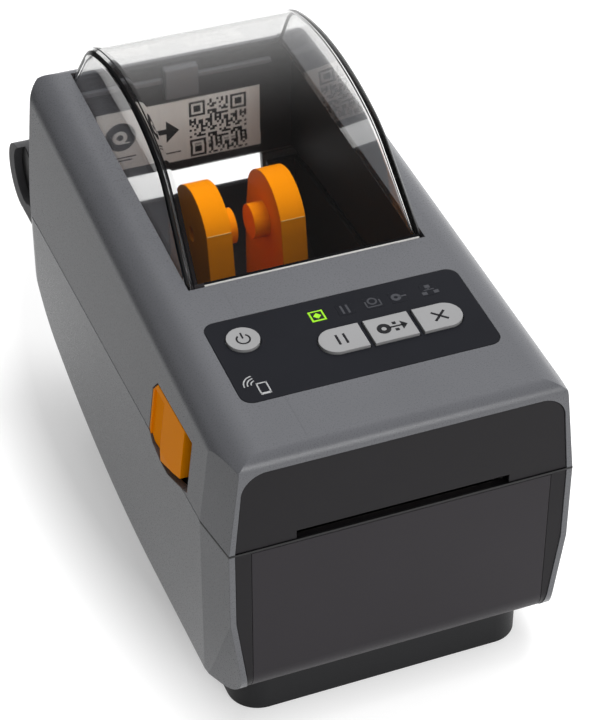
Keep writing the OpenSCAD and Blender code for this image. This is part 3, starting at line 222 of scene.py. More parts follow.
class NodeSheet(Wiring):
    """A node material under construction, with its shader and output in place."""

    def __init__(self, name: str) -> None:
        """Starts an empty material.

        Args:
            name: the material's name.
        """
        self.material = bpy.data.materials.new(name)
        self.material.use_nodes = True
        super().__init__(self.material.node_tree)
        self.out = self.add("ShaderNodeOutputMaterial")
        self.shader = self.add("ShaderNodeBsdfPrincipled")
        self.wire(self.shader.outputs["BSDF"], self.out.inputs["Surface"])

    def feed(self, key: str, source: Socket) -> None:
        """Links a socket to one of the shader's inputs."""
        self.wire(source, self.shader.inputs[key])

    def put(self, **values: object) -> None:
        """Sets constants on the shader's sockets, with _ for a space in a name."""
        for key, value in values.items():
            self.shader.inputs[key.replace("_", " ")].default_value = value

    def place(self, stretch: Triple = (1, 1, 1), shift: Triple = (0, 0, 0)) -> Socket:
        """Gives object coordinates, stretched along the axes and shifted.

        Args:
            stretch: scale along each axis.
            shift: what is added along each axis.

        Returns:
            The coordinate socket.
        """
        coords = self.add("ShaderNodeTexCoord")
        mapping = self.add("ShaderNodeMapping")
        mapping.inputs["Scale"].default_value = stretch
        mapping.inputs["Location"].default_value = shift
        self.wire(coords.outputs["Object"], mapping.inputs["Vector"])
        return mapping.outputs["Vector"]

    def noise(self, where: Socket, scale: float, detail: float = 3.0) -> Socket:
        """Adds a noise texture.

        Args:
            where: the coordinate socket.
            scale: the noise's scale.
            detail: the number of finer layers.

        Returns:
            The noise's value socket.
        """
        node = self.add("ShaderNodeTexNoise")
        node.inputs["Scale"].default_value = scale
        node.inputs["Detail"].default_value = detail
        self.wire(where, node.inputs["Vector"])
        return node.outputs[0]

    def mottled(self, noise: Socket, dark: Triple, pale: Triple) -> Socket:
        """Mixes two shades by a noise."""
        return self.blend(self.span(noise, NOISE_SPAN, UNIT), dark, pale)

    def soft_edges(self, radius: float) -> tuple[Socket, Socket]:
        """Rounds the shading of sharp edges.

        Args:
            radius: the rounding in metres.

        Returns:
            The rounded normal, and a value that rises from 0 on flats to 1 on edges.
        """
        bevel = self.add("ShaderNodeBevel", samples=4)
        bevel.inputs["Radius"].default_value = radius
        geometry = self.add("ShaderNodeNewGeometry")
        dot = self.add("ShaderNodeVectorMath", operation="DOT_PRODUCT")
        self.wire(bevel.outputs["Normal"], dot.inputs[0])
        self.wire(geometry.outputs["Normal"], dot.inputs[1])
        return bevel.outputs["Normal"], self.span(dot.outputs["Value"], (0.995, 0.8), UNIT)

    def relief(self, height: Socket, depth: float, normal: Socket | None = None) -> None:
        """Adds bump to the shader.

        Args:
            height: the height socket.
            depth: the relief in metres.
            normal: a normal to start from.
        """
        bump = self.add("ShaderNodeBump")
        bump.inputs["Distance"].default_value = depth
        bump.inputs["Strength"].default_value = 0.6
        self.wire(height, bump.inputs["Height"])
        if normal is not None:
            self.wire(normal, bump.inputs["Normal"])
        self.feed("Normal", bump.outputs["Normal"])


@dataclass(frozen=True)
class Moulded:
    """Moulded plastic or rubber with a fine grain, faint mottling and paler edges."""

    name: str
    tint: Triple
    rough: float = 0.5
    grain_mm: float = 0.45
    depth_mm: float = 0.02
    mottle: float = 0.06
    wear: float = 0.12
    edge_mm: float = 0.4
    gloss: float = 0.5
    swing: float = 0.06
    cloud_scale: float = 38.0
    rub_scale: float = 120.0
    rub_span: Point = (0.35, 0.65)
    worn: Point = (1.5, 0.02)

    def material(self) -> bpy.types.Material:
        """Builds the material."""
        sheet = NodeSheet(self.name)
        where = sheet.place()
        cloud = sheet.noise(where, self.cloud_scale, 4.0)
        grain = sheet.noise(where, 1 / (self.grain_mm * MM), 2.0)
        normal, edge = sheet.soft_edges(self.edge_mm * MM)
        base = sheet.mottled(cloud, shaded(self.tint, 1 - self.mottle), shaded(self.tint, 1 + self.mottle))
        rub = sheet.span(sheet.noise(where, self.rub_scale), self.rub_span, (0.0, self.wear))
        rubbed = sheet.join("MULTIPLY", edge, rub)
        sheet.feed("Base Color", sheet.blend(rubbed, base, shaded(self.tint, *self.worn)))
        rough = (self.rough - self.swing, self.rough + self.swing)
        sheet.feed("Roughness", sheet.span(grain, NOISE_SPAN, rough))
        sheet.put(Specular_IOR_Level=self.gloss)
        sheet.relief(grain, self.depth_mm * MM, normal)
        return sheet.material


@dataclass(frozen=True)
class Metal:
    """Ground, plated or milled metal with fine lines along one axis."""

    name: str
    tint: Triple
    rough: float = 0.3
    stretch: Triple = (0.05, 1.0, 1.0)
    line_mm: float = 0.15
    edge_mm: float = 0.15
    depth_mm: float = 0.01
    dull: float = 0.8
    swing: Point = (0.08, 0.1)
    cloud_scale: float = 60.0

    def material(self) -> bpy.types.Material:
        """Builds the material."""
        sheet = NodeSheet(self.name)
        lines = sheet.noise(sheet.place(self.stretch), 1 / (self.line_mm * MM))
        cloud = sheet.noise(sheet.place(), self.cloud_scale)
        normal, _ = sheet.soft_edges(self.edge_mm * MM)
        smoother, rougher = self.swing
        sheet.feed("Base Color", sheet.mottled(cloud, shaded(self.tint, self.dull), self.tint))
        sheet.feed("Roughness", sheet.span(lines, NOISE_SPAN, (self.rough - smoother, self.rough + rougher)))
        sheet.put(Metallic=1.0)
        sheet.relief(lines, self.depth_mm * MM, normal)
        return sheet.material


@dataclass(frozen=True)
class Smoked:
    """Smoked clear plastic, which shadows and soft light pass straight through."""

    name: str
    tint: Triple
    rough: float = 0.02
    ior: float = 1.49
    gloss: float = 0.4
    haze: float = 0.03
    haze_scale: float = 55.0
    haze_span: Point = (0.35, 0.75)
    passing: float = 0.98

    def material(self) -> bpy.types.Material:
        """Builds the material."""
        sheet = NodeSheet(self.name)
        haze = sheet.noise(sheet.place(), self.haze_scale, 4.0)
        sheet.feed("Roughness", sheet.span(haze, self.haze_span, (self.rough, self.rough + self.haze)))
        sheet.put(Base_Color=(*self.tint, 1.0), Transmission_Weight=1.0)
        sheet.put(IOR=self.ior, Specular_IOR_Level=self.gloss)
        clear = sheet.add("ShaderNodeBsdfTransparent")
        clear.inputs["Color"].default_value = (self.passing, self.passing, self.passing, 1.0)
        path = sheet.add("ShaderNodeLightPath").outputs
        both = sheet.add("ShaderNodeMixShader")
        sheet.wire(sheet.join("MAXIMUM", path["Is Shadow Ray"], path["Is Diffuse Ray"]), both.inputs["Fac"])
        sheet.wire(sheet.shader.outputs["BSDF"], both.inputs[1])
        sheet.wire(clear.outputs["BSDF"], both.inputs[2])
        sheet.wire(both.outputs["Shader"], sheet.out.inputs["Surface"])
        return sheet.material


@dataclass(frozen=True)
class Paper:
    """Matt label paper with faint fibres."""

    name: str
    tint: Triple
    rough: float = 0.75
    depth_mm: float = 0.01
    dull: float = 0.93
    stretch: Triple = (1.0, 1.0, 0.2)
    fibre_scale: float = 900.0

    def material(self) -> bpy.types.Material:
        """Builds the material."""
        sheet = NodeSheet(self.name)
        fibres = sheet.noise(sheet.place(self.stretch), self.fibre_scale, 4.0)
        sheet.feed("Base Color", sheet.mottled(fibres, shaded(self.tint, self.dull), self.tint))
        sheet.put(Roughness=self.rough)
        sheet.relief(fibres, self.depth_mm * MM)
        return sheet.material


@dataclass(frozen=True)
class Lens:
    """A small indicator lens that glows from inside."""

    name: str
    tint: Triple
    glow: float = 1.0
    rough: float = 0.3
    deep: float = 0.75
    spread_scale: float = 700.0

    def material(self) -> bpy.types.Material:
        """Builds the material."""
        sheet = NodeSheet(self.name)
        spread = sheet.noise(sheet.place(), self.spread_scale, 2.0)
        colour = sheet.mottled(spread, shaded(self.tint, self.deep), self.tint)
        sheet.feed("Base Color", colour)
        sheet.feed("Emission Color", colour)
        sheet.put(Emission_Strength=self.glow, Roughness=self.rough)
        return sheet.material


@dataclass(frozen=True)
class Laminate:
    """Varnished circuit board with tracks under the varnish."""

    name: str
    tint: Triple
    rough: Point = (0.25, 0.4)
    depth_mm: float = 0.02
    bare: float = 1.7
    track_scale: float = 260.0
    track_gap: float = 0.035
    varnish_scale: float = 300.0

    def material(self) -> bpy.types.Material:
        """Builds the material."""
        sheet = NodeSheet(self.name)
        bricks = sheet.add("ShaderNodeTexBrick", offset=0.37, squash=1.4)
        bricks.inputs["Scale"].default_value = self.track_scale
        bricks.inputs["Mortar Size"].default_value = self.track_gap
        sheet.wire(sheet.place(), bricks.inputs["Vector"])
        tracks = bricks.outputs["Fac"]
        varnish = sheet.noise(sheet.place(), self.varnish_scale)
        sheet.feed("Base Color", sheet.blend(tracks, self.tint, shaded(self.tint, self.bare)))
        sheet.feed("Roughness", sheet.span(varnish, NOISE_SPAN, self.rough))
        sheet.relief(tracks, self.depth_mm * MM)
        return sheet.material


Finish = Moulded | Metal | Smoked | Paper | Lens | Laminate


def ink(name: str, tint: Triple) -> Moulded:
    """Gives the finish of a printed mark."""
    return Moulded(name, tint, rough=0.55, grain_mm=0.2, depth_mm=0.003, wear=0.0, gloss=0.25)


HOUSING_GREY = Moulded(
    "housing_grain", tone(97, 98, 102), rough=0.3, depth_mm=0.003, mottle=0.03, wear=0.1, edge_mm=0.3,
)
SEAM_GREY = Moulded(
    "seam_grain", tone(97, 98, 102), rough=0.3, depth_mm=0.001, mottle=0.03, wear=0.0, edge_mm=0.01,
)
BEZEL_DARK = Moulded("bezel_satin", tone(26, 24, 27), rough=0.4, mottle=0.05, wear=0.05, gloss=0.16)
PANEL_DARK = Moulded("panel_satin", tone(36, 32, 37), rough=0.45, mottle=0.05, wear=0.05, gloss=0.24)
PLINTH_DARK = Moulded("plinth_satin", tone(33, 33, 35), rough=0.5, gloss=0.2)
LOBE_GREY = Moulded("lobe_satin", tone(76, 76, 78), rough=0.5, gloss=0.15)
# Painted highlight: the liner's ribs and clip get a lit copy of its plastic.
RIB_LIT_GREY = Moulded("rib_painted_highlight", tone(92, 92, 95), rough=0.4, edge_mm=0.3, wear=0.3, gloss=0.3)
INNER_DARK = Moulded("inner_satin", tone(44, 41, 43), rough=0.5, edge_mm=0.3, wear=0.25, gloss=0.08)
# Painted highlight: the pale line along each roll holder's crease.
ORANGE_HIGHLIGHT = Moulded("orange_line", tone(255, 205, 120), rough=0.3, depth_mm=0.004, wear=0.0, gloss=0.2)
ORANGE = Moulded(
    "orange_gloss", tone(255, 150, 0), rough=0.36, depth_mm=0.006, mottle=0.03, edge_mm=0.5, gloss=0.012,
)
WINDOW_CLEAR = Smoked("window_smoke", (0.882, 0.882, 0.878))
# Painted shade: dark lines on the window's rounded edges and front foot, where the clear plastic only looks
# dark.
WINDOW_EDGE_SHADE = Moulded(
    "window_edge_painted_shade", tone(17, 17, 19), rough=0.2, grain_mm=0.3, depth_mm=0.002, mottle=0.1, wear=0.0, gloss=0.3,
)
# Painted highlight: the pale line along the window's front foot.
WINDOW_HIGHLIGHT = Moulded(
    "window_line", tone(196, 195, 192), rough=0.2, grain_mm=0.3, depth_mm=0.002, mottle=0.12, wear=0.0,
)
OVERLAY_DARK = Moulded(
    "overlay_film", tone(29, 30, 35), rough=0.45, grain_mm=0.25, depth_mm=0.006, wear=0.0, gloss=0.12,
)
KEY_GREY = Moulded(
    "key_satin", tone(147, 147, 148), rough=0.45, mottle=0.03, wear=0.06, edge_mm=0.3, gloss=0.3,
)
STATUS_GREEN = Lens("status_glow", tone(140, 205, 25), 0.45)
STICKER_PAPER = Paper("sticker_paper", tone(248, 247, 243))
RUBBER = Moulded("rubber_black", tone(26, 26, 27), rough=0.75, grain_mm=0.3, depth_mm=0.03, gloss=0.25)
STEEL = Metal("steel_ground", tone(190, 191, 194), rough=0.28)
SHEET_ZINC = Metal("sheet_zinc", tone(176, 178, 182), rough=0.36, stretch=(1.0, 0.06, 1.0), line_mm=0.3)
SINK_METAL = Metal("sink_milled", tone(200, 202, 205), rough=0.34, stretch=(1.0, 0.05, 1.0))
HEAD_GLAZE = Moulded("head_glaze", tone(206, 200, 186), rough=0.25, depth_mm=0.004, wear=0.0)
GEAR_WHITE = Moulded("gear_white", tone(220, 219, 212), rough=0.4, wear=0.0, edge_mm=0.15)
BRASS = Metal("pinion_brass", tone(205, 165, 88))
BOARD_GREEN = Laminate("board_green", tone(20, 78, 44))
PART_BLACK = Moulded("part_black", tone(26, 26, 27), rough=0.4, grain_mm=0.2, edge_mm=0.15, gloss=0.3)
INK_DARK = ink("ink_dark", tone(34, 34, 37))
INK_PALE = ink("ink_pale", tone(176, 177, 178))
INK_FAINT = ink("ink_faint", tone(68, 69, 74))


class Shelf:
    """Keeps one material for each finish and dresses objects with it."""

    def __init__(self) -> None:
        """Starts with no materials."""
        self.made: dict[str, bpy.types.Material] = {}

    def get(self, finish: Finish) -> bpy.types.Material:
        """Gives a finish's material, built once."""
        if finish.name not in self.made:
            self.made[finish.name] = finish.material()
        return self.made[finish.name]

    def dress(self, finish: Finish, *nodes: str) -> None:
        """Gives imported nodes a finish.

        Args:
            finish: the finish.
            nodes: names of the nodes.
        """
        for node in nodes:
            mesh = frame["nodes"][node].data
            mesh.materials.clear()
            mesh.materials.append(self.get(finish))
            LOG.info("dressed %s with %s", node, finish.name)


SHELF = Shelf()


@dataclass(frozen=True)
class Face:
    """A flat place on the printer, with its own right, up and outward directions."""

    origin: Vector
    right: Vector
    up: Vector
    out: Vector

    def at(self, across: float, along: float, height: float = 0.0) -> Vector:
        """Gives a point in metres.

        Args:
            across: millimetres to the right.
            along: millimetres up the face.
            height: millimetres off the face.

        Returns:
            The point in the printer's frame.
        """
        return self.origin + (self.right * across + self.up * along + self.out * height) * MM


def rect(centre: Point, width: float, height: float) -> Outline:
    """Gives a rectangle's outline."""
    x, y = centre
    w, h = width / 2, height / 2
    return [(x - w, y - h), (x + w, y - h), (x + w, y + h), (x - w, y + h)]


def disc(centre: Point, radius: float, count: int = 40) -> Outline:
    """Gives a circle's outline."""
    return band(centre, 0.0, radius, 0.0, 360.0 * (1 - 1 / count), count - 1)


def band(centre: Point, inner: float, outer: float, start: float, stop: float, count: int = 24) -> Outline:
    """Gives the outline of a part of a ring.

    Args:
        centre: the ring's centre.
        inner: inner radius, or 0 for the outer arc alone.
        outer: outer radius.
        start: first angle in degrees.
        stop: last angle in degrees.
        count: number of steps.

    Returns:
        The outline.
    """
    x, y = centre
    angles = [math.radians(start + (stop - start) * step / count) for step in range(count + 1)]
    points = [(x + outer * math.cos(a), y + outer * math.sin(a)) for a in angles]
    if inner > 0:
        points += [(x + inner * math.cos(a), y + inner * math.sin(a)) for a in reversed(angles)]
    return points


def ring(centre: Point, inner: float, outer: float) -> list[Outline]:
    """Gives a whole ring as two halves."""
    return [band(centre, inner, outer, 0, 180), band(centre, inner, outer, 180, 360)]


def bar(start: Point, stop: Point, width: float) -> Outline:
    """Gives the outline of a straight stroke."""
    dx, dy = stop[0] - start[0], stop[1] - start[1]
    size = math.hypot(dx, dy)
    nx, ny = -dy / size * width / 2, dx / size * width / 2
    return [
        (start[0] - nx, start[1] - ny), (stop[0] - nx, stop[1] - ny),
        (stop[0] + nx, stop[1] + ny), (start[0] + nx, start[1] + ny),
    ]


class Maker:
    """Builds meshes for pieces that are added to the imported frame."""

    @staticmethod
    def settle(mesh: Mesh, name: str, finish: Finish, slot: Slot, body: str) -> bpy.types.Object:
        """Turns a mesh under construction into a piece that rides on a body.

        Args:
            mesh: the mesh under construction.
            name: the piece's name.
            finish: its finish.
            slot: the record's slot for it; not used.
            body: the body it rides on.

        Returns:
            The new piece.
        """
        bmesh.ops.recalc_face_normals(mesh, faces=mesh.faces)
        data = bpy.data.meshes.new(name)
        mesh.to_mesh(data)
        mesh.free()
        piece = bpy.data.objects.new(name, data)
        bpy.context.scene.collection.objects.link(piece)
        data.materials.append(SHELF.get(finish))
        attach(piece, body)
        LOG.info("built %s on %s", name, body)
        return piece

    @staticmethod
    def prism(mesh: Mesh, face: Face, outline: Outline, low: float, high: float) -> None:
        """Adds a straight-sided block that stands on a face.

        Args:
            mesh: the mesh under construction.
            face: the face that it stands on.
            outline: its outline in millimetres.
            low: its lower height in millimetres.
            high: its upper height in millimetres.
        """
        bottom = [mesh.verts.new(face.at(u, v, low)) for u, v in outline]
        top = [mesh.verts.new(face.at(u, v, high)) for u, v in outline]
        mesh.faces.new(list(reversed(bottom)))
        mesh.faces.new(top)
        for i in range(len(outline)):
            j = (i + 1) % len(outline)
            mesh.faces.new((bottom[i], bottom[j], top[j], top[i]))

    @classmethod
    def marks(
        cls, name: str, face: Face, outlines: list[Outline], finish: Finish, slot: Slot, body: str,
        low: float = -0.01, high: float = 0.04,
    ) -> bpy.types.Object:
        """Builds printed marks as thin raised shapes.

        Args:
            name: the piece's name.
            face: the face that carries them.
            outlines: their outlines in millimetres.
            finish: their finish.
            slot: the record's slot.
            body: the body they ride on.
            low: lower height in millimetres.
            high: upper height in millimetres.

        Returns:
            The piece.
        """
        mesh = bmesh.new()
        for outline in outlines:
            cls.prism(mesh, face, outline, low, high)
        return cls.settle(mesh, name, finish, slot, body)

    @staticmethod
    def coil(mesh: Mesh, foot: Vector, radius: float, wire: float, height: float, turns: float) -> None:
        """Adds a helical spring that stands up from a point.

        Args:
            mesh: the mesh under construction.
            foot: the centre of its lower end in metres.
            radius: radius of the wire's centre line in metres.
            wire: radius of the wire in metres.
            height: height of the centre line in metres.
            turns: number of turns.
        """
        steps = int(turns * COIL_STEPS)
        rows = []
        for i in range(steps + 1):
            angle = math.tau * turns * i / steps
            radial = Vector((math.cos(angle), math.sin(angle), 0.0))
            middle = foot + radial * radius + UP * (height * i / steps)
            row = []
            for k in range(COIL_SIDES):
                turn = math.tau * k / COIL_SIDES
                row.append(mesh.verts.new(middle + (radial * math.cos(turn) + UP * math.sin(turn)) * wire))
            rows.append(row)
        for first, second in zip(rows, rows[1:]):
            for k in range(COIL_SIDES):
                n = (k + 1) % COIL_SIDES
                mesh.faces.new((first[k], first[n], second[n], second[k])).smooth = True
        mesh.faces.new(rows[0])
        mesh.faces.new(list(reversed(rows[-1])))

    @staticmethod
    def block(mesh: Mesh, low: Triple, high: Triple, round_mm: float) -> None:
        """Adds a box with rounded edges.

        Args:
            mesh: the mesh under construction.
            low: lowest corner in millimetres.
            high: highest corner in millimetres.
            round_mm: edge rounding in millimetres.
        """
        made = bmesh.ops.create_cube(mesh, size=1.0)["verts"]
        for vert in made:
            vert.co = Vector([(a + b) / 2 + c * (b - a) for a, b, c in zip(low, high, vert.co)]) * MM
        edges = list({edge for vert in made for edge in vert.link_edges})
        bmesh.ops.bevel(mesh, geom=edges, offset=round_mm * MM, segments=3, profile=0.5, affect="EDGES")

    @staticmethod
    def weave(mesh: Mesh, rows: list[list[Vector]]) -> list[list[bmesh.types.BMVert]]:
        """Adds a smooth skin through rows of points.

        Args:
            mesh: the mesh under construction.
            rows: the points in millimetres.

        Returns:
            The skin's corners in the same rows.
        """
        made = [[mesh.verts.new(spot * MM) for spot in row] for row in rows]
        for front, rear in zip(made, made[1:]):
            for k in range(len(front) - 1):
                mesh.faces.new((front[k], front[k + 1], rear[k + 1], rear[k])).smooth = True
        return made


@dataclass
class LowerHousing:
    """The lower housing with its front, plinth, feet and hinge lobes."""

    screw_x: float = 38.0
    screw_y: float = -35.8
    screw_z: float = 0.2
    recess: Point = (3.2, 0.7)
    hinge: Point = (98.0, 82.0)
    lobe_r: float = 11.8
    # Black discs in the hinge lobes' recesses paint the shade there.
    shade_disc: Point = (93.0, 85.0)
    shade_disc_r: float = 9.8
    shade_disc_x: float = 53.3
    shade_disc_rise: Point = (-0.02, 0.25)
    shade_disc_steps: int = 48
    seam_z: float = 77.0
    seam_x: Point = (56.6, 57.53)
    seam_rise: Point = (-0.45, 0.27)
    seam_round: float = 0.03
    seam_runs: tuple[Point, ...] = ((-91.6, -77.5), (-43.0, 74.0))
    shadow_rise: Point = (-0.45, 0.22)
    shadow_w: float = 0.5
    shadow_corner: float = 0.45
    nose: tuple[Point, ...] = ((57.53, -92.0), (55.13, -110.03))

    def dress(self) -> None:
        """Gives the housing's nodes their finishes."""
        SHELF.dress(HOUSING_GREY, "base_shell")
        SHELF.dress(BEZEL_DARK, "lower_bezel")
        SHELF.dress(PANEL_DARK, "lower_panel")
        SHELF.dress(PLINTH_DARK, "plinth")
        SHELF.dress(LOBE_GREY, "hinge_lobes")
        SHELF.dress(RUBBER, "foot_pads")
        SHELF.dress(STEEL, "hinge_pins", "plinth_screws")
        SHELF.dress(INNER_DARK, "latch_catches")

    def build(self) -> None:
        """Builds black crosses that paint the shade in the plinth screws' cross recesses, black discs that
        paint the shade in the lobes' recesses, the seam strips and the painted shadow line round the nose.
        """
        # Painted shade: black crosses where the screws' cross recesses would be dark.
        outlines = []
        long, short = self.recess
        for side in SIDES:
            spot = (side * self.screw_x, -self.screw_y)
            outlines += [rect(spot, long, short), rect(spot, short, long)]
        under = Face(UP * (self.screw_z * MM), RIGHT, -BACK, -UP)
        Maker.marks("screw_recess_shade", under, outlines, PART_BLACK, Slot.PART, "base", high=0.03)
        self.shade_disc_lobes()
        self.fill_seam()

    def shade_disc_lobes(self) -> None:
        """Builds black discs sunk into the outer ends of the hinge lobes, which paint the shade in the lobes'
        recesses.
        """
        centre = Vector(self.hinge)
        outline = []
        for point in disc(self.shade_disc, self.shade_disc_r, self.shade_disc_steps):
            arm = Vector(point) - centre
            outline.append(tuple(centre + arm * min(1.0, self.lobe_r / arm.length)))
        mesh = bmesh.new()
        for side in SIDES:
            face = Face(RIGHT * (side * self.shade_disc_x * MM), BACK, UP, RIGHT * side)
            Maker.prism(mesh, face, outline, *self.shade_disc_rise)
        Maker.settle(mesh, "lobe_shade_discs", PART_BLACK, Slot.LOBE, "base")

    def fill_seam(self) -> None:
        """Builds the strips that close the seam along the sides, and the painted shadow line round the nose.
        """
        mesh = bmesh.new()
        near, far = self.seam_x
        low, high = (self.seam_z + rise for rise in self.seam_rise)
        for front, rear in self.seam_runs:
            for left, right in ((near, far), (-far, -near)):
                Maker.block(mesh, (left, front, low), (right, rear, high), self.seam_round)
        Maker.settle(mesh, "seam_strips", SEAM_GREY, Slot.HOUSING, "base")
        # Painted shadow: a black strip round the nose that thickens the seam's dark line.
        top = Face(UP * (self.seam_z * MM), RIGHT, BACK, UP)
        (side, start), (corner, front) = self.nose
        inner = (corner - self.shadow_corner, front + self.shadow_w)
        half = [(side, start), (side - self.shadow_w, start), inner]
        outline = [(-corner, front), (corner, front), *half, *[(-x, y) for x, y in reversed(half)]]
        Maker.marks("seam_shadow", top, [outline], PART_BLACK, Slot.PART, "base", *self.shadow_rise)


@dataclass
class CoverAssembly:
    """The hinged cover with its bezel, window, liner, sticker and latches."""

    liner_y: float = 85.0
    ribs: tuple[tuple[float, ...], ...] = (
        (-36.5, -6.9, 1.6, 116.8, 118.6, 0.4),
        (5.9, 33.0, 1.6, 116.8, 118.6, 0.4),
        (-6.6, 5.6, 3.2, 110.8, 122.6, 0.7),
    )
    rib_root: float = 0.3
    sticker_y: float = 84.8
    sign: Point = (-20.8, 97.8)
    sign_r: float = 5.6
    roll: Point = (-21.0, 97.6)
    roll_r: Point = (1.2, 2.6)
    tail: tuple[Point, Point] = ((-21.0, 95.2), (-17.6, 95.2))
    arrow: tuple[Point, ...] = (
        (-11.0, 95.5), (-6.0, 95.5), (-6.0, 92.0), (-1.2, 96.4), (-6.0, 100.8), (-6.0, 97.6), (-11.0, 97.6),
    )
    rules: tuple[tuple[Point, float], ...] = (
        ((-21.0, 89.4), 11.0), ((-21.0, 88.2), 8.0), ((-5.5, 88.6), 9.0),
    )
    stroke: float = 0.5
    sign_rise: Point = (0.03, 0.07)
    code_cells: int = 25
    code_x: float = 2.6
    code_z: float = 85.1
    code_w: float = 21.3
    square_in: int = 3
    square_reach: int = 4
    square_inked: tuple[int, ...] = (0, 1, 3)

    def dress(self) -> None:
        """Gives the cover's nodes their finishes."""
        SHELF.dress(HOUSING_GREY, "cover_shell")
        SHELF.dress(BEZEL_DARK, "upper_bezel")
        SHELF.dress(INNER_DARK, "cover_liner", "latch_bar", "latch_hooks")
        SHELF.dress(STICKER_PAPER, "guide_sticker")
        SHELF.dress(STEEL, "tear_bar")
        SHELF.dress(ORANGE, "latch_tabs")

    def build(self) -> None:
        """Builds the sticker's print and the ribs and clip on the liner's rear wall."""
        self.print_sticker()
        self.line_rear_wall()

    def code_blocks(self) -> list[Outline]:
        """Gives the blocks of a made-up pattern with three corner squares, which holds no message."""
        cell = self.code_w / self.code_cells
        near, far = self.square_in, self.code_cells - 1 - self.square_in
        blocks = []
        for row in range(self.code_cells):
            for column in range(self.code_cells):
                reach = min(
                    max(abs(column - u), abs(row - v)) for u, v in ((near, near), (near, far), (far, far))
                )
                inked = (row * row * 5 + column * 7 + row * column * 3 + column * column * row) % 11 < 5
                if reach <= self.square_reach:
                    inked = reach in self.square_inked
                if inked:
                    centre = (self.code_x + (column + 0.5) * cell, self.code_z + (row + 0.5) * cell)
                    blocks.append(rect(centre, cell, cell))
        return blocks

    def print_sticker(self) -> None:
        """Builds the sticker's print: a roll, an arrow, a made-up block pattern and three short rules."""
        face = Face(BACK * (self.sticker_y * MM), RIGHT, UP, -BACK)
        marks = [disc(self.sign, self.sign_r), list(self.arrow), *self.code_blocks()]
        marks += [rect(centre, width, self.stroke) for centre, width in self.rules]
        Maker.marks("sticker_print", face, marks, INK_DARK, Slot.STICKER, "cover")
        roll = ring(self.roll, *self.roll_r) + [bar(*self.tail, self.stroke)]
        Maker.marks("sticker_roll_sign", face, roll, STICKER_PAPER, Slot.STICKER, "cover", *self.sign_rise)

    def line_rear_wall(self) -> None:
        """Builds two ribs and a square clip on the liner's rear wall, in a grey far lighter than the liner's,
        which paints their highlight.
        """
        mesh = bmesh.new()
        y = self.liner_y
        for left, right, deep, low, high, rounding in self.ribs:
            Maker.block(mesh, (left, y - deep, low), (right, y + self.rib_root, high), rounding)
        Maker.settle(mesh, "liner_ribs", RIB_LIT_GREY, Slot.INNER, "cover")


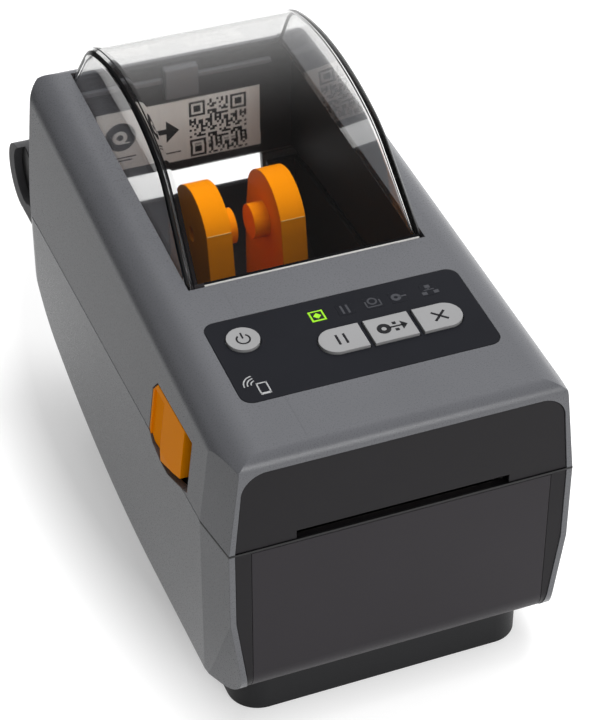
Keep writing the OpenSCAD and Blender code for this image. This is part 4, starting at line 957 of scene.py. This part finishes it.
@dataclass
class Window:
    """The clear bubble window, a curved shell with rounded edges."""

    half: float = 38.6
    lean: float = 0.075
    top: float = 151.0
    thick: float = 2.2
    round_out: float = 3.0
    peak_y: float = 36.5
    top_r: float = 98.0
    front_r: float = 40.0
    rear_r: float = 24.0
    front_a: float = 42.0
    rear_a: float = 52.0
    span_f: float = 21.0
    span_r: float = 16.0
    foot_y: float = -110.0
    foot_z: float = 107.6
    foot_up: float = 2.5
    slope: float = 4.76
    arc_steps: tuple[int, int, int] = (24, 44, 30)
    corner_steps: int = 7
    rim_turns: tuple[Triple, ...] = ((-1, 14.0, 44.0), (-1, 64.0, 72.0), (1, 14.0, 52.0))
    rim_steps: int = 4
    rim_lift: float = 0.03
    foot_shade: Point = (4.9, 0.7)
    foot_line: Point = (4.2, 0.6)

    def dress(self) -> None:
        """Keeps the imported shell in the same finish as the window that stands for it."""
        SHELF.dress(WINDOW_CLEAR, "window")

    def stations(self, inset: float) -> list[tuple[Vector, Vector]]:
        """Gives points along the side outline with their outward directions.

        Args:
            inset: distance inside the outer outline in millimetres.

        Returns:
            Pairs of a point and a direction, each as (y, z), from front to rear.
        """
        crown = Vector((self.peak_y, self.top - self.top_r))

        def away(degrees: float) -> Vector:
            """Gives the direction at an angle from straight up, positive to the rear."""
            return Vector((math.sin(math.radians(degrees)), math.cos(math.radians(degrees))))

        front = crown + away(-self.span_f) * (self.top_r - self.front_r)
        rear = crown + away(self.span_r) * (self.top_r - self.rear_r)
        arcs = (
            (front, self.front_r, -self.front_a, -self.span_f),
            (crown, self.top_r, -self.span_f, self.span_r),
            (rear, self.rear_r, self.span_r, self.rear_a),
        )
        found = []
        for (centre, radius, start, stop), count in zip(arcs, self.arc_steps):
            for step in range(count + (centre is rear)):
                out = away(start + (stop - start) * step / count)
                found.append((centre + out * (radius - inset), out))
        return found

    def foot(self, row: list[Vector], way: Vector) -> list[Vector]:
        """Slides a row of points down to the plane of the window's foot.

        Args:
            row: the points in millimetres.
            way: the direction of the slide as (y, z).

        Returns:
            The points on the foot plane.
        """
        tilt = math.tan(math.radians(self.slope))
        found = []
        for x, y, z in row:
            run = (z - self.foot_z - (y - self.foot_y) * tilt) / (tilt * way.x - way.y)
            aside = math.copysign(self.lean, x) * way.y * run
            found.append(Vector((x - aside, y + way.x * run, z + way.y * run)))
        return found

    def footed(self, rows: list[list[Vector]]) -> list[list[Vector]]:
        """Adds a row on the foot plane before the first row and after the last."""
        first, last = (self.stations(0.0)[end][1] for end in (0, -1))
        front = self.foot(rows[0], Vector((-first.y, first.x)))
        return [front, *rows, self.foot(rows[-1], Vector((last.y, -last.x)))]

    def edge_rows(self, inset: float, corner: float, turns: list[float], lift: float) -> list[list[Triple]]:
        """Gives points round the right long edge, in rows from front to rear.

        Args:
            inset: distance inside the outer form in millimetres.
            corner: radius of the rounded edge in millimetres.
            turns: angles round the edge in radians, 0 at the side and a quarter turn on top.
            lift: height of the points off the form in millimetres.

        Returns:
            Rows of points in millimetres.
        """
        level = self.foot_z + self.foot_up + (self.peak_y - self.foot_y) * math.tan(math.radians(self.slope))
        rows = []
        for point, out in self.stations(inset):
            row = []
            for turn in turns:
                y, z = point - out * (corner * (1 - math.sin(turn)) - lift * math.sin(turn))
                x = self.half - inset - self.lean * (z - level) - corner * (1 - math.cos(turn))
                row.append((x + lift * math.cos(turn), y, z))
            rows.append(row)
        return rows

    def skin(self, mesh: Mesh, inset: float, corner: float) -> list[list[bmesh.types.BMVert]]:
        """Adds one skin of the window, open below.

        Args:
            mesh: the mesh under construction.
            inset: distance inside the outer form in millimetres.
            corner: radius of the rounded long edges in millimetres.

        Returns:
            The skin's points in rows from front to rear, each from left to right.
        """
        turns = [math.pi / 2 * step / self.corner_steps for step in range(self.corner_steps + 1)]
        places = [
            [Vector((-x, y, z)) for x, y, z in side] + [Vector(spot) for spot in reversed(side)]
            for side in self.edge_rows(inset, corner, turns, 0.0)
        ]
        rows = Maker.weave(mesh, self.footed(places))
        for k in (0, -1):
            mesh.faces.new([row[k] for row in rows])
        return rows

    def build(self) -> None:
        """Builds the window from an outer and an inner skin, joined along its foot."""
        mesh = bmesh.new()
        outer = self.skin(mesh, 0.0, self.round_out)
        inner = self.skin(mesh, self.thick, self.round_out - self.thick / 2)
        for end in (0, -1):
            for k in range(len(outer[end]) - 1):
                mesh.faces.new((outer[end][k], outer[end][k + 1], inner[end][k + 1], inner[end][k]))
        for k in (0, -1):
            mesh.faces.new((outer[0][k], outer[-1][k], inner[-1][k], inner[0][k]))
        for edge in mesh.edges:
            edge.smooth = all(face.smooth for face in edge.link_faces)
        window = Maker.settle(mesh, "bubble_window", WINDOW_CLEAR, Slot.CLEAR, "cover")
        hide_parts("window")
        self.line_rims()
        self.line_foot()

    def line_rims(self) -> None:
        """Builds dark lines along the rounded long edges: painted shade, where the clear plastic's curved
        edges look dark.
        """
        mesh = bmesh.new()
        for side, low, high in self.rim_turns:
            turns = [
                math.radians(low + (high - low) * step / self.rim_steps) for step in range(self.rim_steps + 1)
            ]
            rows = self.edge_rows(0.0, self.round_out, turns, self.rim_lift)
            Maker.weave(mesh, self.footed([[Vector((side * x, y, z)) for x, y, z in row] for row in rows]))
        Maker.settle(mesh, "window_edge_painted_shades", WINDOW_EDGE_SHADE, Slot.CLEAR, "cover")

    def line_foot(self) -> None:
        """Builds painted shade and a painted highlight as lines along the window's front foot."""
        point, out = self.stations(0.0)[0]
        start = self.foot([Vector((0, *point))], Vector((-out.y, out.x)))[0]
        face = Face(start * MM, RIGHT, Vector((0, out.y, -out.x)), Vector((0, *out)))
        width = 2 * (self.half - self.round_out)
        for name, (up, tall), finish in (
            ("window_foot_shade", self.foot_shade, WINDOW_EDGE_SHADE),
            ("window_foot_line", self.foot_line, WINDOW_HIGHLIGHT),
        ):
            Maker.marks(name, face, [rect((0, up), width, tall)], finish, Slot.CLEAR, "cover")


@dataclass
class ControlPanel:
    """The overlay on the cover's top with its keys, indicators and signs."""

    slope: float = 4.76
    centre_y: float = -68.865
    front_y: float = -110.0
    front_z: float = 110.1
    key_up: float = 0.8
    power: Point = (-31.7, 8.0)
    row_x: float = 11.7
    row_v: float = -1.9
    pitch: float = 15.9
    lamp_v: float = 11.1
    lamp_xs: tuple[float, ...] = (2.2, 11.3, 19.5, 29.8)
    lamp_w: float = 5.2
    status_x: float = -6.8
    status_half: float = 1.75
    status_point: float = 1.35
    phone: Point = (-33.3, -13.4)
    wave_rs: tuple[float, ...] = (1.3, 2.4, 3.5)
    wave_w: float = 0.4

    def face(self, height: float = 0.0) -> Face:
        """Gives the panel's plane at a height in millimetres."""
        turn = math.radians(self.slope)
        out = Vector((0, -math.sin(turn), math.cos(turn)))
        z = self.front_z + (self.centre_y - self.front_y) * math.tan(turn)
        origin = Vector((0, self.centre_y, z)) * MM + out * height * MM
        return Face(origin, RIGHT, Vector((0, math.cos(turn), math.sin(turn))), out)

    def dress(self) -> None:
        """Gives the panel's nodes their finishes."""
        SHELF.dress(OVERLAY_DARK, "control_overlay", "indicator_lenses")
        SHELF.dress(STATUS_GREEN, "status_light")
        SHELF.dress(KEY_GREY, "power_key", "pause_key", "feed_key", "cancel_key")
        SHELF.dress(BOARD_GREEN, "control_board")
        SHELF.dress(PART_BLACK, "key_switches")

    def build(self) -> None:
        """Builds the signs on the keys and the overlay."""
        self.sign_keys()
        self.sign_lamps()
        self.sign_phone()

    def sign_keys(self) -> None:
        """Builds the power, pause, feed and cancel signs."""
        top = self.face(self.key_up)
        x, y = self.power
        power = [band((x, y - 0.2), 1.75, 2.3, 125, 415), rect((x, y + 1.4), 0.55, 2.6)]
        x, y = self.row_x - self.pitch, self.row_v
        pause = [rect((x + side * 1.2, y), 0.75, 4.4) for side in SIDES]
        x = self.row_x
        feed = ring((x - 2.3, y), 0.8, 2.2)
        feed.append(bar((x - 0.5, y), (x + 4.6, y), 0.6))
        feed += [rect((x + 1.5, y + 1.5), 1.2, 1.1), rect((x + 1.5, y - 1.5), 1.2, 1.1)]
        feed.append([(x + 3.4, y - 1.9), (x + 5.4, y), (x + 3.4, y + 1.9)])
        x = self.row_x + self.pitch
        cancel = [bar((x - 2.1, y + side * 2.0), (x + 2.1, y - side * 2.0), 0.8) for side in SIDES]
        for name, outlines in (("power", power), ("pause", pause), ("feed", feed), ("cancel", cancel)):
            Maker.marks(name + "_sign", top, outlines, INK_DARK, Slot.KEY, name + "_key")

    def sign_lamps(self) -> None:
        """Builds the dark mask of the lit indicator and the faint signs of the others."""
        face = self.face()
        x, y, half, point = self.status_x, self.lamp_v, self.status_half, self.status_point
        mask = []
        for sx, sy in ((1, 1), (-1, 1), (-1, -1), (1, -1)):
            right, top = x + sx * half, y + sy * half
            mask.append([(x + sx * point, y), (right, y), (right, top), (x, top), (x, y + sy * point)])
        Maker.marks("status_mask", face, mask, INK_DARK, Slot.OVERLAY, "cover")
        films = [rect((u, y), self.lamp_w, self.lamp_w) for u in self.lamp_xs]
        Maker.marks("lamp_films", face, films, OVERLAY_DARK, Slot.OVERLAY, "cover", high=0.03)
        wait, sheet, roll, net = self.lamp_xs
        left, right, low = sheet - 2.3, sheet + 2.3, y - 1.7
        faint = [rect((wait - 0.9, y), 0.7, 3.8), rect((wait + 0.9, y), 0.7, 3.8)]
        faint += [bar((left, low), (left, y + 1.0), 0.5), bar((left, low), (right, low), 0.5)]
        faint += [bar((right, low), (right, y + 1.0), 0.5)] + ring((sheet, y + 0.7), 1.0, 1.6)
        faint += ring((roll - 0.6, y), 0.6, 1.6) + [bar((roll + 0.8, y), (roll + 2.8, y), 0.6)]
        faint += [rect((net + u, y + v), 1.7, 1.4) for u, v in ((0.0, 1.5), (-1.9, -1.4), (1.9, -1.4))]
        faint += [rect((net, y), 3.4, 0.4), rect((net, y + 0.4), 0.4, 1.0)]
        Maker.marks("faint_signs", face, faint, INK_FAINT, Slot.OVERLAY, "cover", low=0.02, high=0.05)

    def sign_phone(self) -> None:
        """Builds the sign of a hand-held device with waves."""
        x, y = self.phone
        signs = [
            rect((x - 1.5, y), 0.45, 5.0), rect((x + 1.5, y), 0.45, 5.0),
            rect((x, y + 2.35), 3.45, 0.45), rect((x, y - 2.1), 3.45, 0.85),
        ]
        signs += [band((x - 1.5, y + 2.3), r, r + self.wave_w, 95, 185, 14) for r in self.wave_rs]
        Maker.marks("device_sign", self.face(), signs, INK_PALE, Slot.OVERLAY, "cover")


@dataclass
class RollBay:
    """The roll bay with its holders, racks and pinion, and the label deck."""

    crease: Point = (12.0, 100.55)
    crease_a: float = 20.0
    plate: Point = (8.5, 17.2)
    line_in: float = 0.4
    line_w: float = 0.35

    def dress(self) -> None:
        """Gives the bay's nodes their finishes."""
        SHELF.dress(INNER_DARK, "media_bay", "front_deck", "media_sensor")
        SHELF.dress(ORANGE, "holder_left", "holder_right", "rack_left", "rack_right")
        SHELF.dress(GEAR_WHITE, "sync_pinion")
        SHELF.dress(STEEL, "sensor_rod")

    def build(self) -> None:
        """Builds a painted highlight: a pale line along the crease on the front of each roll holder."""
        near, far = self.plate
        turn = math.radians(self.crease_a)
        up, out = Vector((0, math.sin(turn), math.cos(turn))), Vector((0, -math.cos(turn), math.sin(turn)))
        for name, side in zip(("holder_left", "holder_right"), SIDES):
            face = Face(Vector((side * (near + far) / 2, *self.crease)) * MM, RIGHT, up, out)
            line = [rect((0, 0), far - near - self.line_in, self.line_w)]
            Maker.marks(name + "_line", face, line, ORANGE_HIGHLIGHT, Slot.ORANGE, name, low=-0.2, high=0.05)


@dataclass
class PrintUnit:
    """The print head, platen, gears and motor."""

    spring_x: float = 18.0
    spring_y: float = -100.0
    spring_low: float = 84.1
    spring_high: float = 91.1
    spring_r: float = 2.1
    spring_turns: float = 5.5
    wire_r: float = 0.32

    def dress(self) -> None:
        """Gives the unit's nodes their finishes."""
        SHELF.dress(SHEET_ZINC, "print_cradle", "head_bracket", "motor_can")
        SHELF.dress(GEAR_WHITE, "platen_bearings", "platen_gear", "idler_gear")
        SHELF.dress(RUBBER, "platen_sleeve")
        SHELF.dress(STEEL, "platen_shaft", "motor_shaft", "pivot_rod", "head_springs")
        SHELF.dress(BRASS, "motor_pinion")
        SHELF.dress(HEAD_GLAZE, "print_head")
        SHELF.dress(SINK_METAL, "heat_sink")

    def build(self) -> None:
        """Builds the two wound head springs."""
        mesh = bmesh.new()
        tall = (self.spring_high - self.spring_low - 2 * self.wire_r) * MM
        for side in SIDES:
            foot = Vector((side * self.spring_x, self.spring_y, self.spring_low + self.wire_r)) * MM
            Maker.coil(mesh, foot, self.spring_r * MM, self.wire_r * MM, tall, self.spring_turns)
        springs = Maker.settle(mesh, "head_spring_coils", STEEL, Slot.STEEL, "cover")
        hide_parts("head_springs")
        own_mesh(springs)


@dataclass
class Electronics:
    """The main board with its parts and the rear sockets."""

    hood_x: Point = (43.4, 53.6)
    hood_y: Point = (69.5, 88.0)
    hood_z: Point = (67.3, 68.4)
    hood_round: float = 0.3

    def dress(self) -> None:
        """Gives the boards and sockets their finishes."""
        SHELF.dress(BOARD_GREEN, "main_board")
        SHELF.dress(PART_BLACK, "board_parts", "power_inlet")
        SHELF.dress(STEEL, "data_socket")

    def build(self) -> None:
        """Builds the hoods over the two rear sockets."""
        mesh = bmesh.new()
        near, far = self.hood_x
        (front, rear), (low, high) = self.hood_y, self.hood_z
        for left, right in ((near, far), (-far, -near)):
            Maker.block(mesh, (left, front, low), (right, rear, high), self.hood_round)
        Maker.settle(mesh, "socket_hoods", PART_BLACK, Slot.PART, "base")


@dataclass(frozen=True)
class SkyFade:
    """A change of the sky's level toward one direction."""

    way: Triple
    reach: Point
    levels: Point

    def level(self, sky: Wiring) -> Socket:
        """Wires the change into the world.

        Args:
            sky: the world's node tree under construction.

        Returns:
            The level's socket.
        """
        dot = sky.add("ShaderNodeVectorMath", operation="DOT_PRODUCT")
        dot.inputs[1].default_value = Vector(self.way).normalized()
        sky.wire(sky.add("ShaderNodeTexCoord").outputs["Generated"], dot.inputs[0])
        return sky.span(dot.outputs["Value"], self.reach, self.levels, "SMOOTHSTEP")


@dataclass(frozen=True)
class Lamp:
    """A soft lamp that faces the printer."""

    name: str
    spot: Triple
    size: float
    power: float
    mirrored: bool
    target: Triple = (0.0, 0.0, 0.07)

    def hang(self) -> None:
        """Hangs the lamp, which glossy surfaces show only where it is mirrored."""
        data = bpy.data.lights.new(self.name, "AREA")
        data.size = self.size
        data.energy = self.power
        lamp = bpy.data.objects.new(self.name, data)
        lamp.location = self.spot
        lamp.visible_glossy = self.mirrored
        lamp.visible_transmission = False
        lamp.rotation_euler = (Vector(self.target) - Vector(self.spot)).to_track_quat("-Z", "Y").to_euler()
        bpy.context.scene.collection.objects.link(lamp)


@dataclass
class Studio:
    """The camera, the white floor and the soft light."""

    eye: Triple = (-0.2228, -0.5847, 0.5332)
    look: Triple = (0.2931, 0.7383, -0.6074)
    lens: float = 117.93
    film: float = 36.0
    near: float = 0.01
    floor_half: float = 6.0
    floor_z: float = -0.0003
    # floor_painted_glow gives the floor's glow near the printer and far from it, which paints its shadow;
    # floor_reflection_dim and floor_reflection_dark paint shade into the floor seen in reflections.
    floor_grey: Triple = (0.56, 0.56, 0.56)
    floor_reflection_dark: Triple = (0.0, 0.0, 0.0)
    floor_painted_glow: Point = (0.37, 0.72)
    floor_oval: Point = (0.06, 0.145)
    floor_shift: float = -0.28
    floor_reach: Point = (1.05, 1.45)
    floor_front: Point = (-0.085, -0.112)
    floor_corner: Point = (-0.075, -0.045)
    floor_edge: Point = (-0.19, -0.22)
    floor_left: Point = (-0.06, -0.086)
    floor_reflection_dim: float = 0.41
    shade: SkyFade = SkyFade((-0.85, -0.1, 0.5), (0.36, 0.92), (0.88, 0.12))
    room: SkyFade = SkyFade((0.25, -0.75, 0.6), (-0.4, 0.5), (0.88, 0.08))
    wall: SkyFade = SkyFade((-0.62, 0.7, 0.35), (0.72, 0.95), (1.0, 0.1))
    lamps: tuple[Lamp, ...] = (
        Lamp("high_lamp", (0.4, 0.25, 1.6), 0.8, 18.0, False),
        Lamp("front_lamp", (0.35, -1.35, 0.5), 0.5, 4.0, True),
    )

    def build(self) -> None:
        """Builds the camera, floor, world and lamps."""
        self.place_camera()
        self.lay_floor()
        self.light_world()
        for lamp in self.lamps:
            lamp.hang()

    def place_camera(self) -> None:
        """Places the camera where the photograph was taken from."""
        data = bpy.data.cameras.new("photo_camera")
        data.lens = self.lens
        data.sensor_width = self.film
        data.clip_start = self.near
        camera = bpy.data.objects.new("photo_camera", data)
        camera.location = self.eye
        camera.rotation_euler = Vector(self.look).to_track_quat("-Z", "Y").to_euler()
        bpy.context.scene.collection.objects.link(camera)
        bpy.context.scene.camera = camera

    def lay_floor(self) -> None:
        """Lays a white floor that keeps the printer's cast shadow, with more shadow painted into its glow."""
        mesh = bmesh.new()
        for x, y in rect((0.0, 0.0), 2 * self.floor_half, 2 * self.floor_half):
            mesh.verts.new((x, y, self.floor_z))
        mesh.faces.new(mesh.verts)
        data = bpy.data.meshes.new("floor")
        mesh.to_mesh(data)
        mesh.free()
        floor = bpy.data.objects.new("floor", data)
        bpy.context.scene.collection.objects.link(floor)
        data.materials.append(self.floor_material())

    def floor_material(self) -> bpy.types.Material:
        """Builds the floor's white, with the printer's shadow painted into its glow and painted shade toward
        the left in reflections.
        """
        sheet = NodeSheet("floor_white_painted_shadow")
        sheet.put(Emission_Color=(1.0, 1.0, 1.0, 1.0), Roughness=0.9, Specular_IOR_Level=0.1)
        path = sheet.add("ShaderNodeLightPath").outputs
        seen = path["Is Camera Ray"]
        for way in ("Is Glossy Ray", "Is Transmission Ray"):
            seen = sheet.join("MAXIMUM", seen, path[way])
        wide, long = self.floor_oval
        away = sheet.add("ShaderNodeVectorMath", operation="LENGTH")
        sheet.wire(sheet.place((1 / wide, 1 / long, 0.0), (0.0, self.floor_shift, 0.0)), away.inputs[0])
        place = sheet.add("ShaderNodeSeparateXYZ")
        sheet.wire(sheet.place(), place.inputs[0])
        x, y = place.outputs["X"], place.outputs["Y"]
        # Painted shadow: the glow is lower in an oval round the printer, and higher beyond it and in front of
        # it away from the front left.
        front = sheet.span(y, self.floor_front, self.floor_painted_glow)
        corner = sheet.span(x, self.floor_corner, self.floor_painted_glow)
        oval = sheet.span(away.outputs["Value"], self.floor_reach, self.floor_painted_glow)
        bright = sheet.join("MAXIMUM", oval, sheet.join("MINIMUM", front, corner))
        # Painted shade in reflections: the floor that glossy surfaces mirror turns darker toward the left and
        # black beyond the edge.
        edge = sheet.span(x, self.floor_edge, UNIT)
        left = sheet.join("MAXIMUM", edge, sheet.span(x, self.floor_left, (0.0, self.floor_reflection_dim)))
        reflection_shade = sheet.join("MULTIPLY", path["Is Glossy Ray"], left)
        sheet.feed("Base Color", sheet.blend(reflection_shade, self.floor_grey, self.floor_reflection_dark))
        # Painted shadow: this glow, lower near the printer, whitens the floor for the camera, for reflections
        # and through glass.
        glow = sheet.join("MULTIPLY", seen, bright)
        sheet.feed("Emission Strength", sheet.join("SUBTRACT", glow, reflection_shade, clamp=True))
        return sheet.material

    def light_world(self) -> None:
        """Lights the scene from all round, dimmer from the upper left and, in reflections, from the front."""
        world = bpy.data.worlds.new("studio")
        bpy.context.scene.world = world
        world.use_nodes = True
        sky = Wiring(world.node_tree)
        path = sky.add("ShaderNodeLightPath").outputs
        mirrored = sky.join("MULTIPLY", self.room.level(sky), self.wall.level(sky))
        bent = sky.join("MAXIMUM", path["Is Glossy Ray"], path["Is Transmission Ray"])
        level = sky.blend(bent, self.shade.level(sky), mirrored, Mix.LEVEL)
        ground = sky.add("ShaderNodeBackground")
        ground.inputs["Color"].default_value = (1.0, 1.0, 1.0, 1.0)
        sky.wire(sky.blend(path["Is Camera Ray"], level, 1.0, Mix.LEVEL), ground.inputs["Strength"])
        sky.wire(ground.outputs["Background"], sky.add("ShaderNodeOutputWorld").inputs["Surface"])


def main() -> None:
    """Builds the printer's looks and its studio, piece by piece."""
    logging.basicConfig(level=logging.INFO, format="%(name)s: %(message)s")
    bpy.context.scene.view_settings.view_transform = "Standard"
    Studio().build()
    for assembly in (
        LowerHousing(), CoverAssembly(), Window(), ControlPanel(), RollBay(), PrintUnit(), Electronics(),
    ):
        assembly.dress()
        assembly.build()
    LOG.info("sizes kept")


if __name__ == "__main__":
    main()
